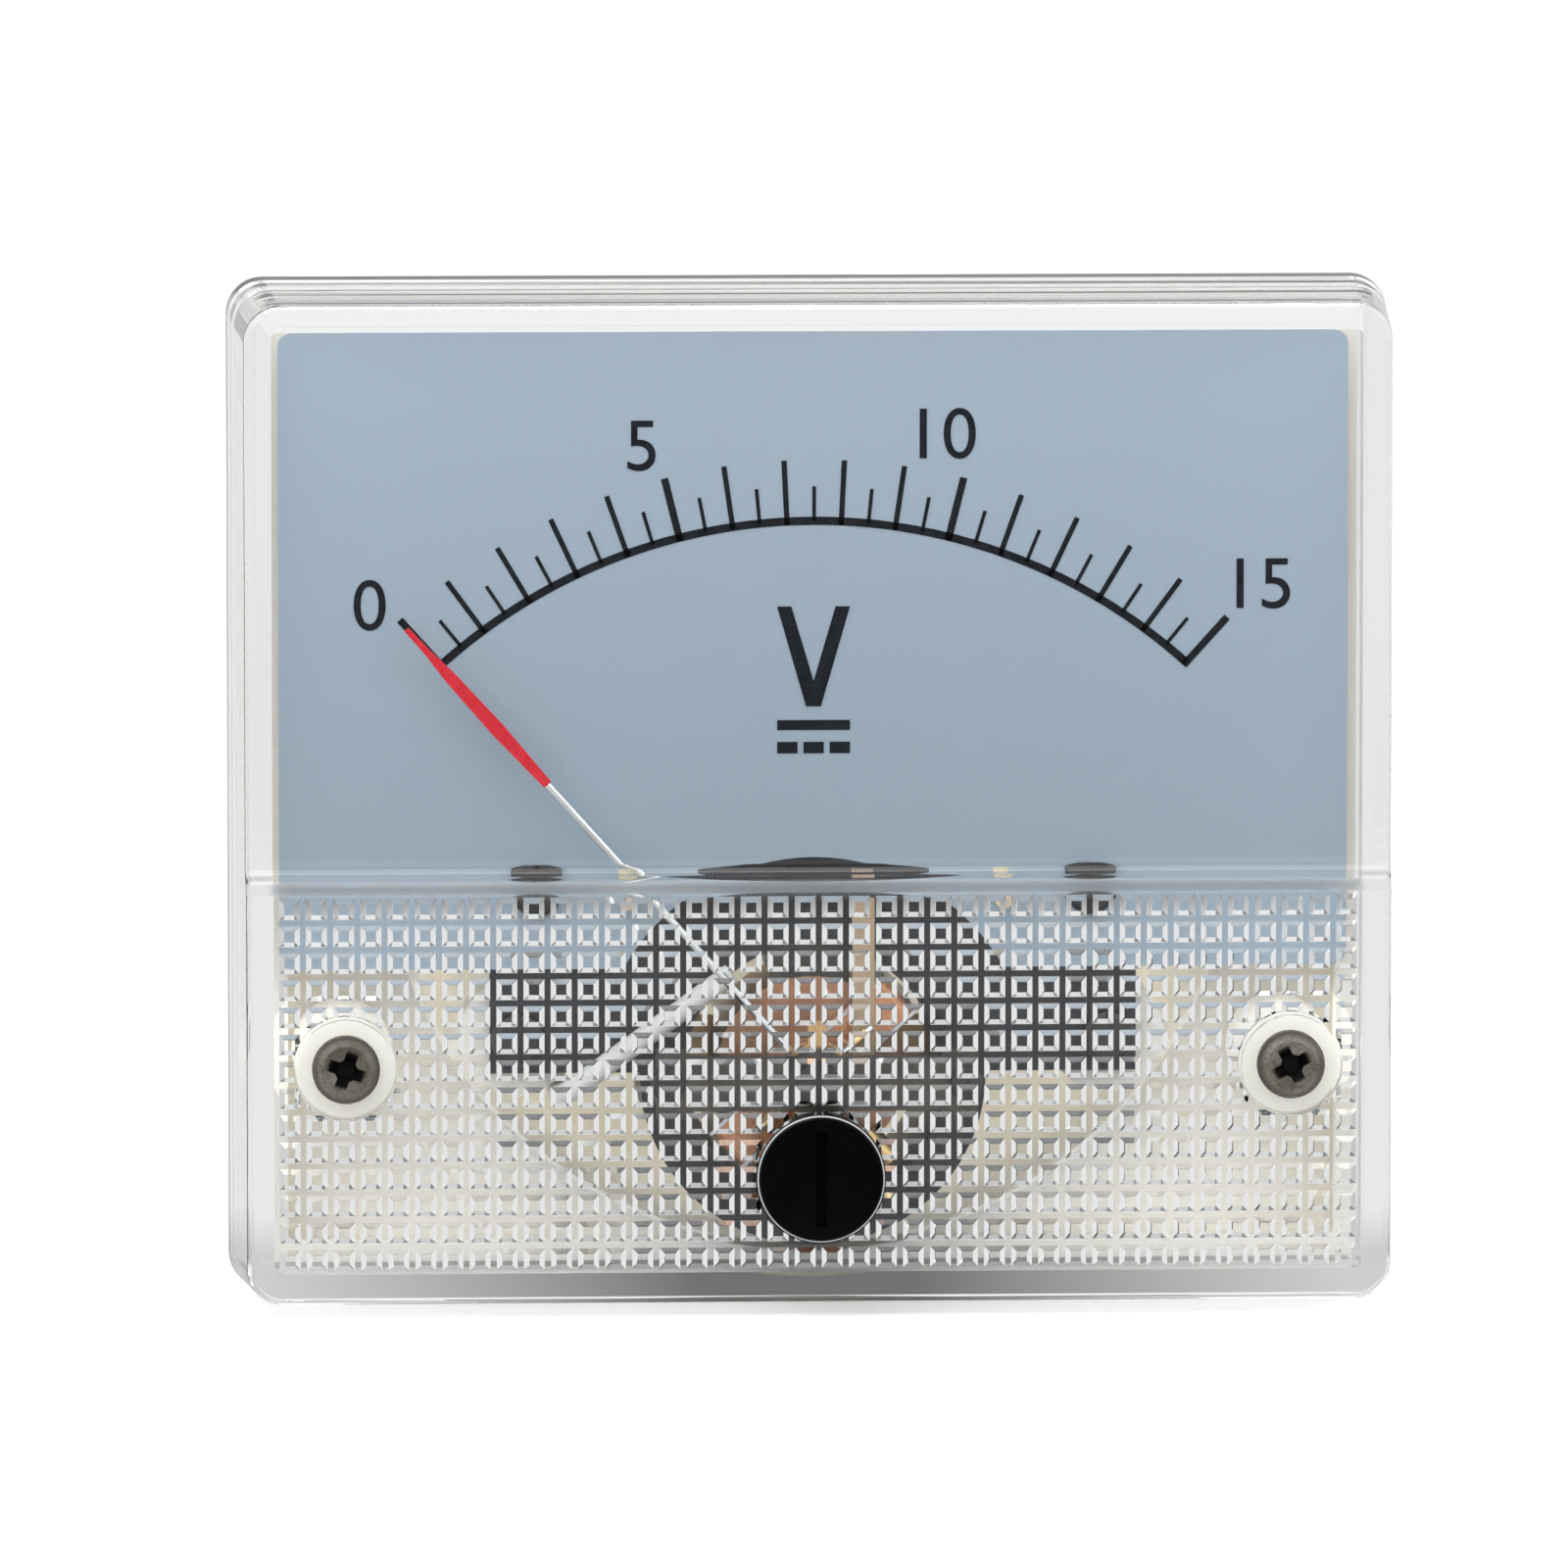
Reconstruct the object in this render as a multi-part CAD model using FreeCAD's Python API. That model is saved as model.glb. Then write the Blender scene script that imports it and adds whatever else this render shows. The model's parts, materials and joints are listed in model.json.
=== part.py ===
import FreeCAD, Part
import math
import os

# Small rectangular moving-coil panel meter with a clear front cover.
# Millimetres. The origin is on the barrel's axis in the panel's front plane.
# The dial faces -Y, +Z is up and +X is to the right as the dial is read.

# Face and clear cover
face_width = 64.0
face_height = 56.0
face_drop = 26.0  # lower edge of the face below the barrel's axis
cover_depth = 13.0  # panel plane to the front of the window
lower_rise = 0.8  # lower panel stands this far in front of the window
draft = 0.75  # each side draws in by this much over the cover's depth
cover_wall = 1.6
window_wall = 1.8
corner_radius = 2.0
inner_corner = 0.4
edge_radius = 0.4
step_top = -1.25
step_bottom = -2.5
inner_step_top = -1.9
inner_step_bottom = -3.3

# Waffle pattern: square pits with sloping sides, pressed into the lower panel's inner face
waffle_pitch = 1.48
waffle_flat = 0.56
waffle_depth = 0.29
waffle_collar = 0.12  # plain ring left round each boss

# Cover screws, their recesses and the posts behind them
screw_inset = 6.2  # from the face's side edge
screw_below_dial = 4.8
stud_clearance = 2.0  # mounting stud to the barrel
screw_bore = 1.15
screw_shank = 1.0
screw_head = 1.85
screw_head_height = 1.2
screw_length = 6.0
recess_radius = 2.75
recess_floor = 1.0  # thickness of clear plastic under the head
post_radius = 2.75
post_seat = 1.7  # raised ring on the post that the cover rests on
post_seat_height = 0.15
cross_reach = 1.15
cross_arm = 0.34
cross_core = 0.62
cross_floor = 0.45
cross_depth = 0.9
cross_turns = {-1: 20.0, 1: 62.0}
head_softness = 0.3  # share of a head's height that is rounded off

# Base with its barrel
floor_thickness = 1.5
rim_height = 3.0
rim_wall = 1.2
cover_gap = 0.15
barrel_radius = 25.0
barrel_wall = 1.5
barrel_length = 28.0
barrel_back_wall = 1.8
pillar_x = 16.2
pillar_z = -11.5
pillar_radius = 3.2
pad_inset = 4.3  # from the dial plate's side edge
pad_drop = 5.4  # from the dial plate's top edge
pad_radius = 1.5

# Movement frame and dial plate
pivot_z = -13.5
frame_half_width = 17.75
frame_top = 0.0
frame_bottom = -13.4
frame_front = -6.1
frame_thickness = 1.0
frame_bore = 7.3
collar_depth = 2.0
collar_wall = 1.1
dial_side_margin = 2.7  # dial plate inside the face's edge
dial_top_margin = 2.6
dial_bottom = -7.6
dial_thickness = 0.5
dial_corner = 0.8
dial_notch = 12.0
dial_screw_x = 15.2
dial_screw_z = -3.3
dial_screw_head = 1.4
dial_screw_head_height = 0.7
dial_screw_shank = 0.8
dial_screw_length = 2.0
movement_screw_head = 1.5
movement_screw_head_height = 0.9

# Magnet, yoke and moving coil
core_radius = 5.2
core_end_gap = 0.6  # core's front face behind the yoke's front face
core_length = 10.0
yoke_bore = 7.0
yoke_radius = 9.5
yoke_length = 11.0
holder_thickness = 1.5
holder_web_half = 2.1
holder_web_rim = 0.5  # how far each web runs onto the holder's ring
former_side_gap = 0.35
former_end_gap = 0.5
former_wall = 0.3
former_width = 2.7
former_cheek = 0.2
winding_depth = 0.55
cheek_lip = 0.05
hub_radius = 1.5
hub_height = 0.6
staff_radius = 0.6
pivot_radius = 0.25
pivot_length = 0.75
pivot_clearance = 0.05

# Pointer, stops and scale angles
pointer_y = -8.6
rest_angle = -42.0  # pointer at zero, measured clockwise from straight up
overtravel = 1.0
arm_radius = 0.225
tip_below_dial_top = 7.5
blade_length = 11.5
blade_width = 0.8
blade_root_width = 0.5
blade_tip_width = 0.3
blade_thickness = 0.2
pointer_hub_radius = 1.2
pointer_hub_height = 0.6
tail_reach = 5.6
side_reach = 4.2
tail_weight_radius = 0.75
tail_weight_reach = 5.1  # the weight is as long as the balance needs at this distance
side_weight_radius = 0.4
side_weight_length = 1.2
side_weight_reach = 3.2
stop_radius = 14.3
stop_pin_radius = 0.25
stop_pin_over = 1.1  # pin in front of the pointer's middle plane
sleeve_radius = 0.5
sleeve_over = 0.9
stop_gap = 0.03

# Hairsprings
spring_start = 1.0
spring_step = 0.28
spring_half_turns = 7
spring_strip = 0.08
spring_width = 0.3
spring_stud_radius = 0.25
spring_stud_offset = 0.3
front_spring_gap = 0.45  # lever to front spring
rear_spring_gap = 0.95  # rear spring to rear bridge

# Bridges and jewel screws
bridge_half_width = 8.8
bridge_half_height = 1.9
bridge_thickness = 0.6
bridge_leg = 1.2
bridge_shoulder = 2.0  # full-height part at each end of the strip
bridge_waist = 0.4  # drawn in by this much between them
front_bridge_y = -10.9
rear_bridge_y = 9.2
bridge_screw_x = 8.2
bridge_screw_shank = 0.5
bridge_screw_head = 0.95
bridge_screw_head_height = 0.45
bridge_screw_bite = 1.5
jewel_screw_radius = 1.2
jewel_screw_front = -11.45
jewel_screw_length = 1.7
jewel_radius = 0.6
jewel_height = 0.5
jewel_hole = 0.35

# Zero adjuster
knob_z = -18.3
knob_radius = 3.55
knob_proud = 1.5
knob_chamfer = 0.25
knob_stem = 1.8
knob_bore_gap = 0.05
knob_end_play = 0.1
knob_slot_width = 0.6
knob_slot_depth = 0.7
knob_slot_length = 5.2
knob_boss = 3.0
knob_boss_height = 0.29
knob_stem_over = 0.15  # stem beyond its retainer
retainer_radius = 2.5
retainer_thickness = 0.4
crank_offset = 1.0
crank_radius = 0.5
lever_thickness = 0.25
lever_gap = 0.1
lever_ring = 2.0
fork_half_width = 1.3
fork_clearance = 0.12
fork_overhang = 1.0
lever_tab_half = 0.5
lever_tab_over = 0.7

# Insulating strip beside the pivot
strip_inner = 2.1
strip_outer = 3.3
strip_stand = 1.5
strip_thickness = 0.6
strip_low = 0.6
strip_high = 10.1
strip_foot = 1.8

# Terminals, mounting studs and what lies inside the barrel
terminal_x = 13.0
terminal_radius = 1.8  # mean radius of the thread inside boss and nut
terminal_free_radius = 2.0  # crest of the thread on the free end
terminal_bore = 1.85
terminal_end = 42.0
terminal_neck = 0.6  # neck between the nut and the free end
terminal_chamfer = 0.5
terminal_boss_rim = 0.5
terminal_boss_height = 0.6
terminal_head = 3.2
terminal_head_height = 1.8
washer_radius = 4.5
washer_thickness = 0.8
lug_radius = 4.0
lug_thickness = 0.5
lug_length = 11.0
lug_width = 4.0
lug_hole = 0.9
nut_flats = 7.0
nut_height = 3.2
nut_chamfer = 0.4
mount_radius = 1.5
mount_end = 13.0
mount_chamfer = 0.4
mount_anchor = 1.8
mount_embed = 5.0
resistor_y = 15.0
resistor_half_length = 5.5
resistor_radius = 1.9
resistor_cap = 2.2
resistor_lead = 0.35
resistor_lead_out = 2.0
resistor_bend = 1.5
lead_radius = 0.6
lead_bends = (1.3, 5.0, 4.0, 4.0, 1.2)
rear_lead_bends = (3.0, 5.0, 2.0)
rear_lead_turns = (0.356, 0.63, 0.733)  # shares of the room between rear bridge and terminal head

# Small clearances
thread_gap = 0.03
seat_gap = 0.02
loose_gap = 0.15
hole_runout = 0.4  # blind hole beyond its screw's tip
slot_width = 0.3
slot_depth = 0.25

# Densities used to balance the pointer, in grams per cubic millimetre
density_aluminium = 2.7e-3
density_plastic = 1.1e-3
density_brass = 8.5e-3

# Places that follow from the sizes above
far = 3 * max(face_width, face_height)
face_rise = face_height / 2 - face_drop
dial_half_width = face_width / 2 - dial_side_margin
dial_top = face_rise + face_height / 2 - dial_top_margin
pad_x = dial_half_width - pad_inset
pad_z = dial_top - pad_drop
blade_tip = dial_top - pivot_z - tip_below_dial_top
arm_reach = blade_tip - blade_length
screw_x = face_width / 2 - screw_inset
stud_circle = barrel_radius + stud_clearance + mount_radius
stud_drop = math.sqrt(max(0, stud_circle**2 - screw_x**2))
screw_z = -max(screw_below_dial - dial_bottom, stud_drop)
window_front = -cover_depth
lower_front = window_front - lower_rise
window_back = window_front + window_wall
lower_back = lower_front + window_wall
frame_back = frame_front + frame_thickness
dial_front = frame_front - dial_thickness
barrel_bore = barrel_radius - barrel_wall
barrel_inside = barrel_length - barrel_back_wall
recess_y = lower_front + screw_head_height
post_front = recess_y + recess_floor
yoke_back = frame_back + yoke_length
core_front = frame_back + core_end_gap
core_back = core_front + core_length
former_front = core_front - former_end_gap - former_wall
former_back = core_back + former_end_gap + former_wall
former_half = core_radius + former_side_gap + former_wall
cheek_front = former_front - winding_depth - cheek_lip
cheek_back = former_back + winding_depth + cheek_lip
holder_back = yoke_back + holder_thickness
front_bridge_back = front_bridge_y + bridge_thickness
rear_bridge_back = rear_bridge_y + bridge_thickness
lever_front = front_bridge_back + lever_gap
lever_back = lever_front + lever_thickness
front_spring_y = lever_back + front_spring_gap
rear_spring_y = rear_bridge_y - rear_spring_gap
front_screw_back = jewel_screw_front + jewel_screw_length
rear_screw_front = rear_bridge_y - 0.25
swing_limit = overtravel - rest_angle
stop_angle = swing_limit + math.degrees(math.asin((sleeve_radius + arm_radius + stop_gap) / stop_radius))


def point(x, y, z):
    return FreeCAD.Vector(x, y, z)


def cylinder(radius, y0, y1, x=0.0, z=0.0):
    """Round bar along Y between two depths."""
    return Part.makeCylinder(radius, y1 - y0, point(x, y0, z), point(0, 1, 0))


def ring(outer, inner, y0, y1, x=0.0, z=0.0):
    return cylinder(outer, y0, y1, x, z).cut(cylinder(inner, y0 - 1, y1 + 1, x, z))


def block(x0, x1, y0, y1, z0, z1):
    return Part.makeBox(x1 - x0, y1 - y0, z1 - z0, point(x0, y0, z0))


def turned(profile, x=0.0, z=0.0):
    """Solid of revolution about a Y axis from (radius, y) corners."""
    corners = [point(x + r, y, z) for r, y in profile]
    wire = Part.makePolygon(corners + corners[:1])
    return Part.Face(wire).revolve(point(x, 0, z), point(0, 1, 0), 360)


def swung(shape, degrees, z=pivot_z):
    """Copy turned clockwise, as the dial is read, about a Y axis on the centre line."""
    copy = shape.copy()
    copy.rotate(point(0, 0, z), point(0, 1, 0), degrees)
    return copy


def joined(shape):
    """The one solid of a fused shape, with seams between flush faces removed."""
    return shape.removeSplitter().Solids[0]


def on_dial(radius, degrees):
    """X and Z of a place given by its distance and clockwise angle from the pivot."""
    angle = math.radians(degrees)
    return radius * math.sin(angle), pivot_z + radius * math.cos(angle)


def outline(y, inset):
    """Rounded rectangle of the drafted cover at one depth, drawn in by the inset."""
    shrink = draft * -y / cover_depth + inset
    half_x = face_width / 2 - shrink
    half_z = face_height / 2 - shrink
    r = max(corner_radius - inset, inner_corner)
    edges = []
    for turn in range(4):
        a, b = (half_x, half_z) if turn % 2 == 0 else (half_z, half_x)
        start = point(a, 0, r - b)
        end = point(a, 0, b - r)
        middle = point(a - r + r * math.sqrt(0.5), 0, b - r + r * math.sqrt(0.5))
        side = [Part.makeLine(start, end), Part.Arc(end, middle, point(a - r, 0, b)).toShape()]
        for edge in side:
            edge.rotate(point(0, 0, 0), point(0, 1, 0), -90 * turn)
            edge.translate(point(0, y, face_rise))
            edges.append(edge)
    return Part.Wire(edges)


def drafted(inset, y_front, y_back):
    """Solid between two depths inside the cover's outer form, drawn in by the inset."""
    return Part.makeLoft([outline(y_back, inset), outline(y_front, inset)], True, True)


def stepped(y_upper, y_lower, z_upper, z_lower):
    """Wide block whose front steps from one plane to another by an S of two arcs."""
    rise = y_lower - y_upper
    fall = z_lower - z_upper
    radius = (rise**2 + fall**2) / (4 * abs(rise))
    quarter = math.atan(abs(rise / fall))
    out = math.copysign(radius * (1 - math.cos(quarter)), rise)
    down = math.copysign(radius * math.sin(quarter), fall)
    centre = (y_upper + rise / 2, z_upper + fall / 2)

    def at(y, z):
        return point(-far, y, z)

    upper_arc = Part.Arc(at(y_upper, z_upper), at(y_upper + out, z_upper + down), at(*centre)).toShape()
    lower_arc = Part.Arc(at(*centre), at(y_lower - out, z_lower - down), at(y_lower, z_lower)).toShape()
    ends = [at(y_lower, z_lower), at(y_lower, -far), at(far, -far), at(far, far), at(y_upper, far)]
    rest = Part.makePolygon(ends + [at(y_upper, z_upper)])
    face = Part.Face(Part.Wire([upper_arc, lower_arc] + rest.Edges))
    return face.extrude(point(2 * far, 0, 0))


def on_front_rim(edge):
    """True for an edge where the cover's front meets its sides."""
    middle = edge.valueAt((edge.FirstParameter + edge.LastParameter) / 2)
    shrink = draft * -middle.y / cover_depth
    at_side = abs(middle.x) > face_width / 2 - shrink - corner_radius
    at_end = abs(middle.z - face_rise) > face_height / 2 - shrink - corner_radius
    runs_back = abs(edge.tangentAt(edge.FirstParameter).y) > 0.9
    return middle.y < window_front + edge_radius and (at_side or at_end) and not runs_back


def pits(start, count):
    """Corners of a row of flat-floored pits as (place along the row, depth), side slopes at 45 degrees."""
    floor = lower_back - waffle_depth
    rim = (waffle_pitch - waffle_flat) / 2
    corners = [(start, floor + rim)]
    for i in range(count):
        left = start + i * waffle_pitch + rim
        corners.append((left, floor))
        corners.append((left + waffle_flat, floor))
        corners.append((left + waffle_flat + rim, floor + rim))
    return corners


def waffle():
    """Rows and columns of pits to be cut out behind the lower panel and into the inner step."""
    behind = window_back + 1
    half = face_width / 2 - draft - cover_wall
    columns = int(2 * half / waffle_pitch)
    foot = face_rise - face_height / 2 + draft + cover_wall
    rows = int((step_bottom - foot) / waffle_pitch)
    across = pits(-columns * waffle_pitch / 2, columns)
    corners = [point(x, y, -far) for x, y in across]
    corners = corners + [point(-across[0][0], behind, -far), point(across[0][0], behind, -far)]
    columns_solid = Part.Face(Part.makePolygon(corners + corners[:1])).extrude(point(0, 0, 2 * far))
    upward = pits(foot, rows)[:-1]
    top = upward[-1]
    corners = [point(-far, y, z) for z, y in upward]
    corners = corners + [point(-far, behind, top[0] + behind - top[1]), point(-far, behind, foot)]
    rows_solid = Part.Face(Part.makePolygon(corners + corners[:1])).extrude(point(2 * far, 0, 0))
    return columns_solid.common(rows_solid)


def front_cover():
    """Clear moulding: drafted walls, stepped front, waffle, screw recesses and knob bore."""
    body = drafted(0, lower_front, 0).common(stepped(window_front, lower_front, step_top, step_bottom))
    body = body.makeFillet(edge_radius, [e for e in body.Edges if on_front_rim(e)])
    cavity = drafted(cover_wall, lower_back, 1).common(
        stepped(window_back, lower_back, inner_step_top, inner_step_bottom)
    )
    cavity = cavity.fuse(waffle())
    for side in (-1, 1):
        boss = cylinder(recess_radius + waffle_collar, lower_front, post_front, side * screw_x, screw_z)
        cavity = cavity.cut(boss)
    cavity = cavity.cut(cylinder(knob_boss, lower_front, lower_back + knob_boss_height, 0, knob_z))
    body = body.cut(cavity)
    for side in (-1, 1):
        body = body.cut(cylinder(recess_radius, lower_front - 1, recess_y, side * screw_x, screw_z))
        body = body.cut(cylinder(screw_bore, lower_front, post_front + 1, side * screw_x, screw_z))
    return body.cut(cylinder(knob_stem + knob_bore_gap, lower_front - 1, 0, 0, knob_z))


def base():
    """White moulding: shallow tray with rim, posts, pads, barrel and movement pillars."""
    inset = cover_wall + cover_gap
    rim_front = -floor_thickness - rim_height
    tray = drafted(inset, rim_front, 0)
    tray = tray.cut(drafted(inset + rim_wall, rim_front - 1, -floor_thickness))
    body = tray.fuse(cylinder(barrel_radius, 0, barrel_length))
    body = body.cut(cylinder(barrel_bore, rim_front - 1, barrel_inside))
    for side in (-1, 1):
        pillar = cylinder(pillar_radius, frame_back, barrel_inside, side * pillar_x, pillar_z)
        web = block(0, barrel_bore, -floor_thickness, barrel_inside, -pillar_radius / 2, pillar_radius / 2)
        web = web.cut(cylinder(math.hypot(pillar_x, pillar_z), -far, far))
        web.rotate(point(0, 0, 0), point(0, 1, 0), math.degrees(math.atan2(-pillar_z, side * pillar_x)))
        post = cylinder(post_radius, post_front + post_seat_height, 0, side * screw_x, screw_z)
        post = post.fuse(cylinder(post_seat, post_front, 0, side * screw_x, screw_z))
        pad = cylinder(pad_radius, frame_front, 0, side * pad_x, pad_z)
        boss_end = barrel_length + terminal_boss_height
        boss = cylinder(washer_radius + terminal_boss_rim, barrel_inside, boss_end, side * terminal_x, 0)
        body = body.fuse([pillar, web.common(cylinder(barrel_radius - 0.1, -far, far)), post, pad, boss])
    for side in (-1, 1):
        tip = recess_y + screw_length
        hole = cylinder(screw_shank + thread_gap, post_front - 1, tip + hole_runout, side * screw_x, screw_z)
        body = body.cut(hole)
        body = body.cut(cylinder(mount_anchor + seat_gap, -mount_embed, 1, side * screw_x, screw_z))
        body = body.cut(cylinder(terminal_bore, barrel_inside - 1, barrel_length + 2, side * terminal_x, 0))
        tip = frame_front + screw_length
        x = side * pillar_x
        body = body.cut(cylinder(screw_shank + thread_gap, frame_back - 1, tip + hole_runout, x, pillar_z))
    return joined(body)


def cross_recess(y_top, turn, x, z):
    """Cross-shaped pocket that narrows towards its floor."""
    y_floor = y_top + cross_depth
    arms = block(-cross_reach, cross_reach, y_top - 1, y_floor, -cross_arm, cross_arm)
    arms = arms.fuse(block(-cross_arm, cross_arm, y_top - 1, y_floor, -cross_reach, cross_reach))
    arms = arms.fuse(cylinder(cross_core, y_top - 1, y_floor))
    cone = Part.makeCone(cross_reach, cross_floor, cross_depth, point(0, y_top, 0), point(0, 1, 0))
    arms = arms.common(cone.fuse(cylinder(cross_reach, y_top - 1, y_top)))
    arms.rotate(point(0, 0, 0), point(0, 1, 0), turn)
    arms.translate(point(x, 0, z))
    return arms


def pan_screw(head, head_height, shank, y_seat, length, x, z):
    """Screw with a low rounded head towards the front."""
    soft = head_height * head_softness
    profile = [
        (0, y_seat - head_height),
        (head - 1.4 * soft, y_seat - head_height),
        (head - 0.4 * soft, y_seat - head_height + 0.4 * soft),
        (head, y_seat - head_height + 1.4 * soft),
        (head, y_seat),
        (shank, y_seat),
        (shank, y_seat + length - shank / 2),
        (shank / 2, y_seat + length),
        (0, y_seat + length),
    ]
    return turned(profile, x, z)


def slotted(screw, head, y_top, x, z, direction=1):
    """Screw with a straight slot cut into the end at y_top."""
    y_floor = y_top + direction * slot_depth
    low, high = min(y_top - direction, y_floor), max(y_top - direction, y_floor)
    return screw.cut(block(x - slot_width / 2, x + slot_width / 2, low, high, z - head, z + head))


def cover_screw(side):
    x = side * screw_x
    screw = pan_screw(screw_head, screw_head_height, screw_shank, recess_y, screw_length, x, screw_z)
    return screw.cut(cross_recess(recess_y - screw_head_height, cross_turns[side], x, screw_z))


def movement_screw(side):
    head, height = movement_screw_head, movement_screw_head_height
    screw = pan_screw(head, height, screw_shank, frame_front, screw_length, side * pillar_x, pillar_z)
    return slotted(screw, head, frame_front - height, side * pillar_x, pillar_z)


def dial_screw(side):
    head, height = dial_screw_head, dial_screw_head_height
    x = side * dial_screw_x
    screw = pan_screw(head, height, dial_screw_shank, dial_front, dial_screw_length, x, dial_screw_z)
    return slotted(screw, head, dial_front - height, x, dial_screw_z)


def movement_frame():
    """Black bar behind the dial's lower edge with a round seat for the yoke."""
    body = block(-frame_half_width, frame_half_width, frame_front, frame_back, frame_bottom, frame_top)
    body = body.fuse(cylinder(yoke_radius, frame_front, frame_back, 0, pivot_z))
    inner = yoke_radius + seat_gap
    collar = ring(inner + collar_wall, inner, frame_back, frame_back + collar_depth, 0, pivot_z)
    above = block(-far, far, frame_back, frame_back + collar_depth, pivot_z, far)
    body = body.fuse(collar.common(above))
    body = body.cut(cylinder(frame_bore, frame_front - 1, frame_back + 1, 0, pivot_z))
    for side in (-1, 1):
        x, z = on_dial(stop_radius, side * stop_angle)
        for radius, hole_x, hole_z in (
            (screw_shank + loose_gap, side * pillar_x, pillar_z),
            (dial_screw_shank + thread_gap, side * dial_screw_x, dial_screw_z),
            (stop_pin_radius + seat_gap, x, z),
            (bridge_screw_shank + thread_gap, side * bridge_screw_x, pivot_z),
        ):
            body = body.cut(cylinder(radius, frame_front - 1, frame_back + 1, hole_x, hole_z))
    return joined(body)


def dial_plate():
    """Thin sheet with rounded corners, a round notch over the movement and four holes."""
    plate = block(-dial_half_width, dial_half_width, dial_front, frame_front, dial_bottom, dial_top)
    upright = [e for e in plate.Edges if abs(e.tangentAt(0).y) > 0.9]
    plate = plate.makeFillet(dial_corner, upright)
    plate = plate.cut(cylinder(dial_notch, dial_front - 1, frame_front + 1, 0, pivot_z))
    for side in (-1, 1):
        x, z = on_dial(stop_radius, side * stop_angle)
        plate = plate.cut(cylinder(stop_pin_radius + loose_gap, dial_front - 1, frame_front + 1, x, z))
        hole = dial_screw_shank + loose_gap
        plate = plate.cut(cylinder(hole, dial_front - 1, frame_front + 1, side * dial_screw_x, dial_screw_z))
    return plate


def yoke_ring():
    body = ring(yoke_radius, yoke_bore, frame_back, yoke_back, 0, pivot_z)
    for side in (-1, 1):
        front_tip = frame_back + bridge_screw_bite + hole_runout
        rear_tip = yoke_back - bridge_screw_bite - hole_runout
        hole = bridge_screw_shank + thread_gap
        body = body.cut(cylinder(hole, frame_back - 1, front_tip, side * bridge_screw_x, pivot_z))
        body = body.cut(cylinder(hole, rear_tip, yoke_back + 1, side * bridge_screw_x, pivot_z))
    return body


def core_magnet():
    return cylinder(core_radius, core_front, core_back, 0, pivot_z)


def core_holder():
    """Ring behind the yoke with two webs that reach into the air gap and carry the core."""
    body = ring(yoke_radius, yoke_bore, yoke_back, holder_back, 0, pivot_z)
    web = cylinder(yoke_bore - seat_gap, core_front, holder_back, 0, pivot_z)
    web = web.fuse(cylinder(yoke_bore + holder_web_rim, yoke_back, holder_back, 0, pivot_z))
    web = web.cut(cylinder(core_radius + seat_gap, core_front - 1, holder_back + 1, 0, pivot_z))
    web = web.common(block(-holder_web_half, holder_web_half, core_front, holder_back, pivot_z, far))
    body = body.fuse([web, swung(web, 180)])
    for side in (-1, 1):
        hole = cylinder(bridge_screw_shank + thread_gap, 0, far, side * bridge_screw_x, pivot_z)
        body = body.cut(hole)
    return joined(body)


def bridge(y_front, y_leg, legs_back):
    """Flat strip across the movement on two legs, with a jewel screw hole in its middle."""
    y_back = y_front + bridge_thickness
    low, high = pivot_z - bridge_half_height, pivot_z + bridge_half_height
    strip = block(-bridge_half_width, bridge_half_width, y_front, y_back, low, high)
    reach = bridge_half_width - bridge_shoulder
    waist = block(-reach, reach, y_front - 1, y_back + 1, low - 1, low + bridge_waist)
    strip = strip.cut([waist, swung(waist, 180)])
    strip = strip.fuse(cylinder(bridge_half_height, y_front, y_back, 0, pivot_z))
    start, end = (y_back, y_leg) if legs_back else (y_leg, y_front)
    for side in (-1, 1):
        inner, outer = bridge_half_width - bridge_leg, bridge_half_width
        x0, x1 = (inner, outer) if side > 0 else (-outer, -inner)
        strip = strip.fuse(block(x0, x1, start, end, pivot_z - bridge_leg, pivot_z + bridge_leg))
        hole = bridge_screw_shank + thread_gap
        strip = strip.cut(cylinder(hole, -far, far, side * bridge_screw_x, pivot_z))
    strip = strip.cut(cylinder(jewel_screw_radius + thread_gap, y_front - 1, y_back + 1, 0, pivot_z))
    return joined(strip)


def front_bridge():
    return bridge(front_bridge_y, frame_front, True)


def rear_bridge():
    """Rear strip, with the stud that holds the rear spring's outer end."""
    body = bridge(rear_bridge_y, holder_back, False)
    x = -spring_end() - spring_stud_offset
    stud = cylinder(spring_stud_radius, rear_spring_y, rear_bridge_y, x, pivot_z)
    return body.fuse(stud)


def front_bridge_screw(side):
    length = frame_back + bridge_screw_bite - front_bridge_y
    x = side * bridge_screw_x
    screw = pan_screw(
        bridge_screw_head, bridge_screw_head_height, bridge_screw_shank, front_bridge_y, length, x, pivot_z
    )
    return slotted(screw, bridge_screw_head, front_bridge_y - bridge_screw_head_height, x, pivot_z)


def rear_bridge_screw(side):
    length = rear_bridge_back + bridge_screw_bite - yoke_back
    x = side * bridge_screw_x
    screw = pan_screw(
        bridge_screw_head, bridge_screw_head_height, bridge_screw_shank, 0, length, x, 0
    )
    screw = slotted(screw, bridge_screw_head, -bridge_screw_head_height, x, 0)
    screw.rotate(point(x, 0, 0), point(0, 0, 1), 180)
    screw.translate(point(0, rear_bridge_back, pivot_z))
    return screw


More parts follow.
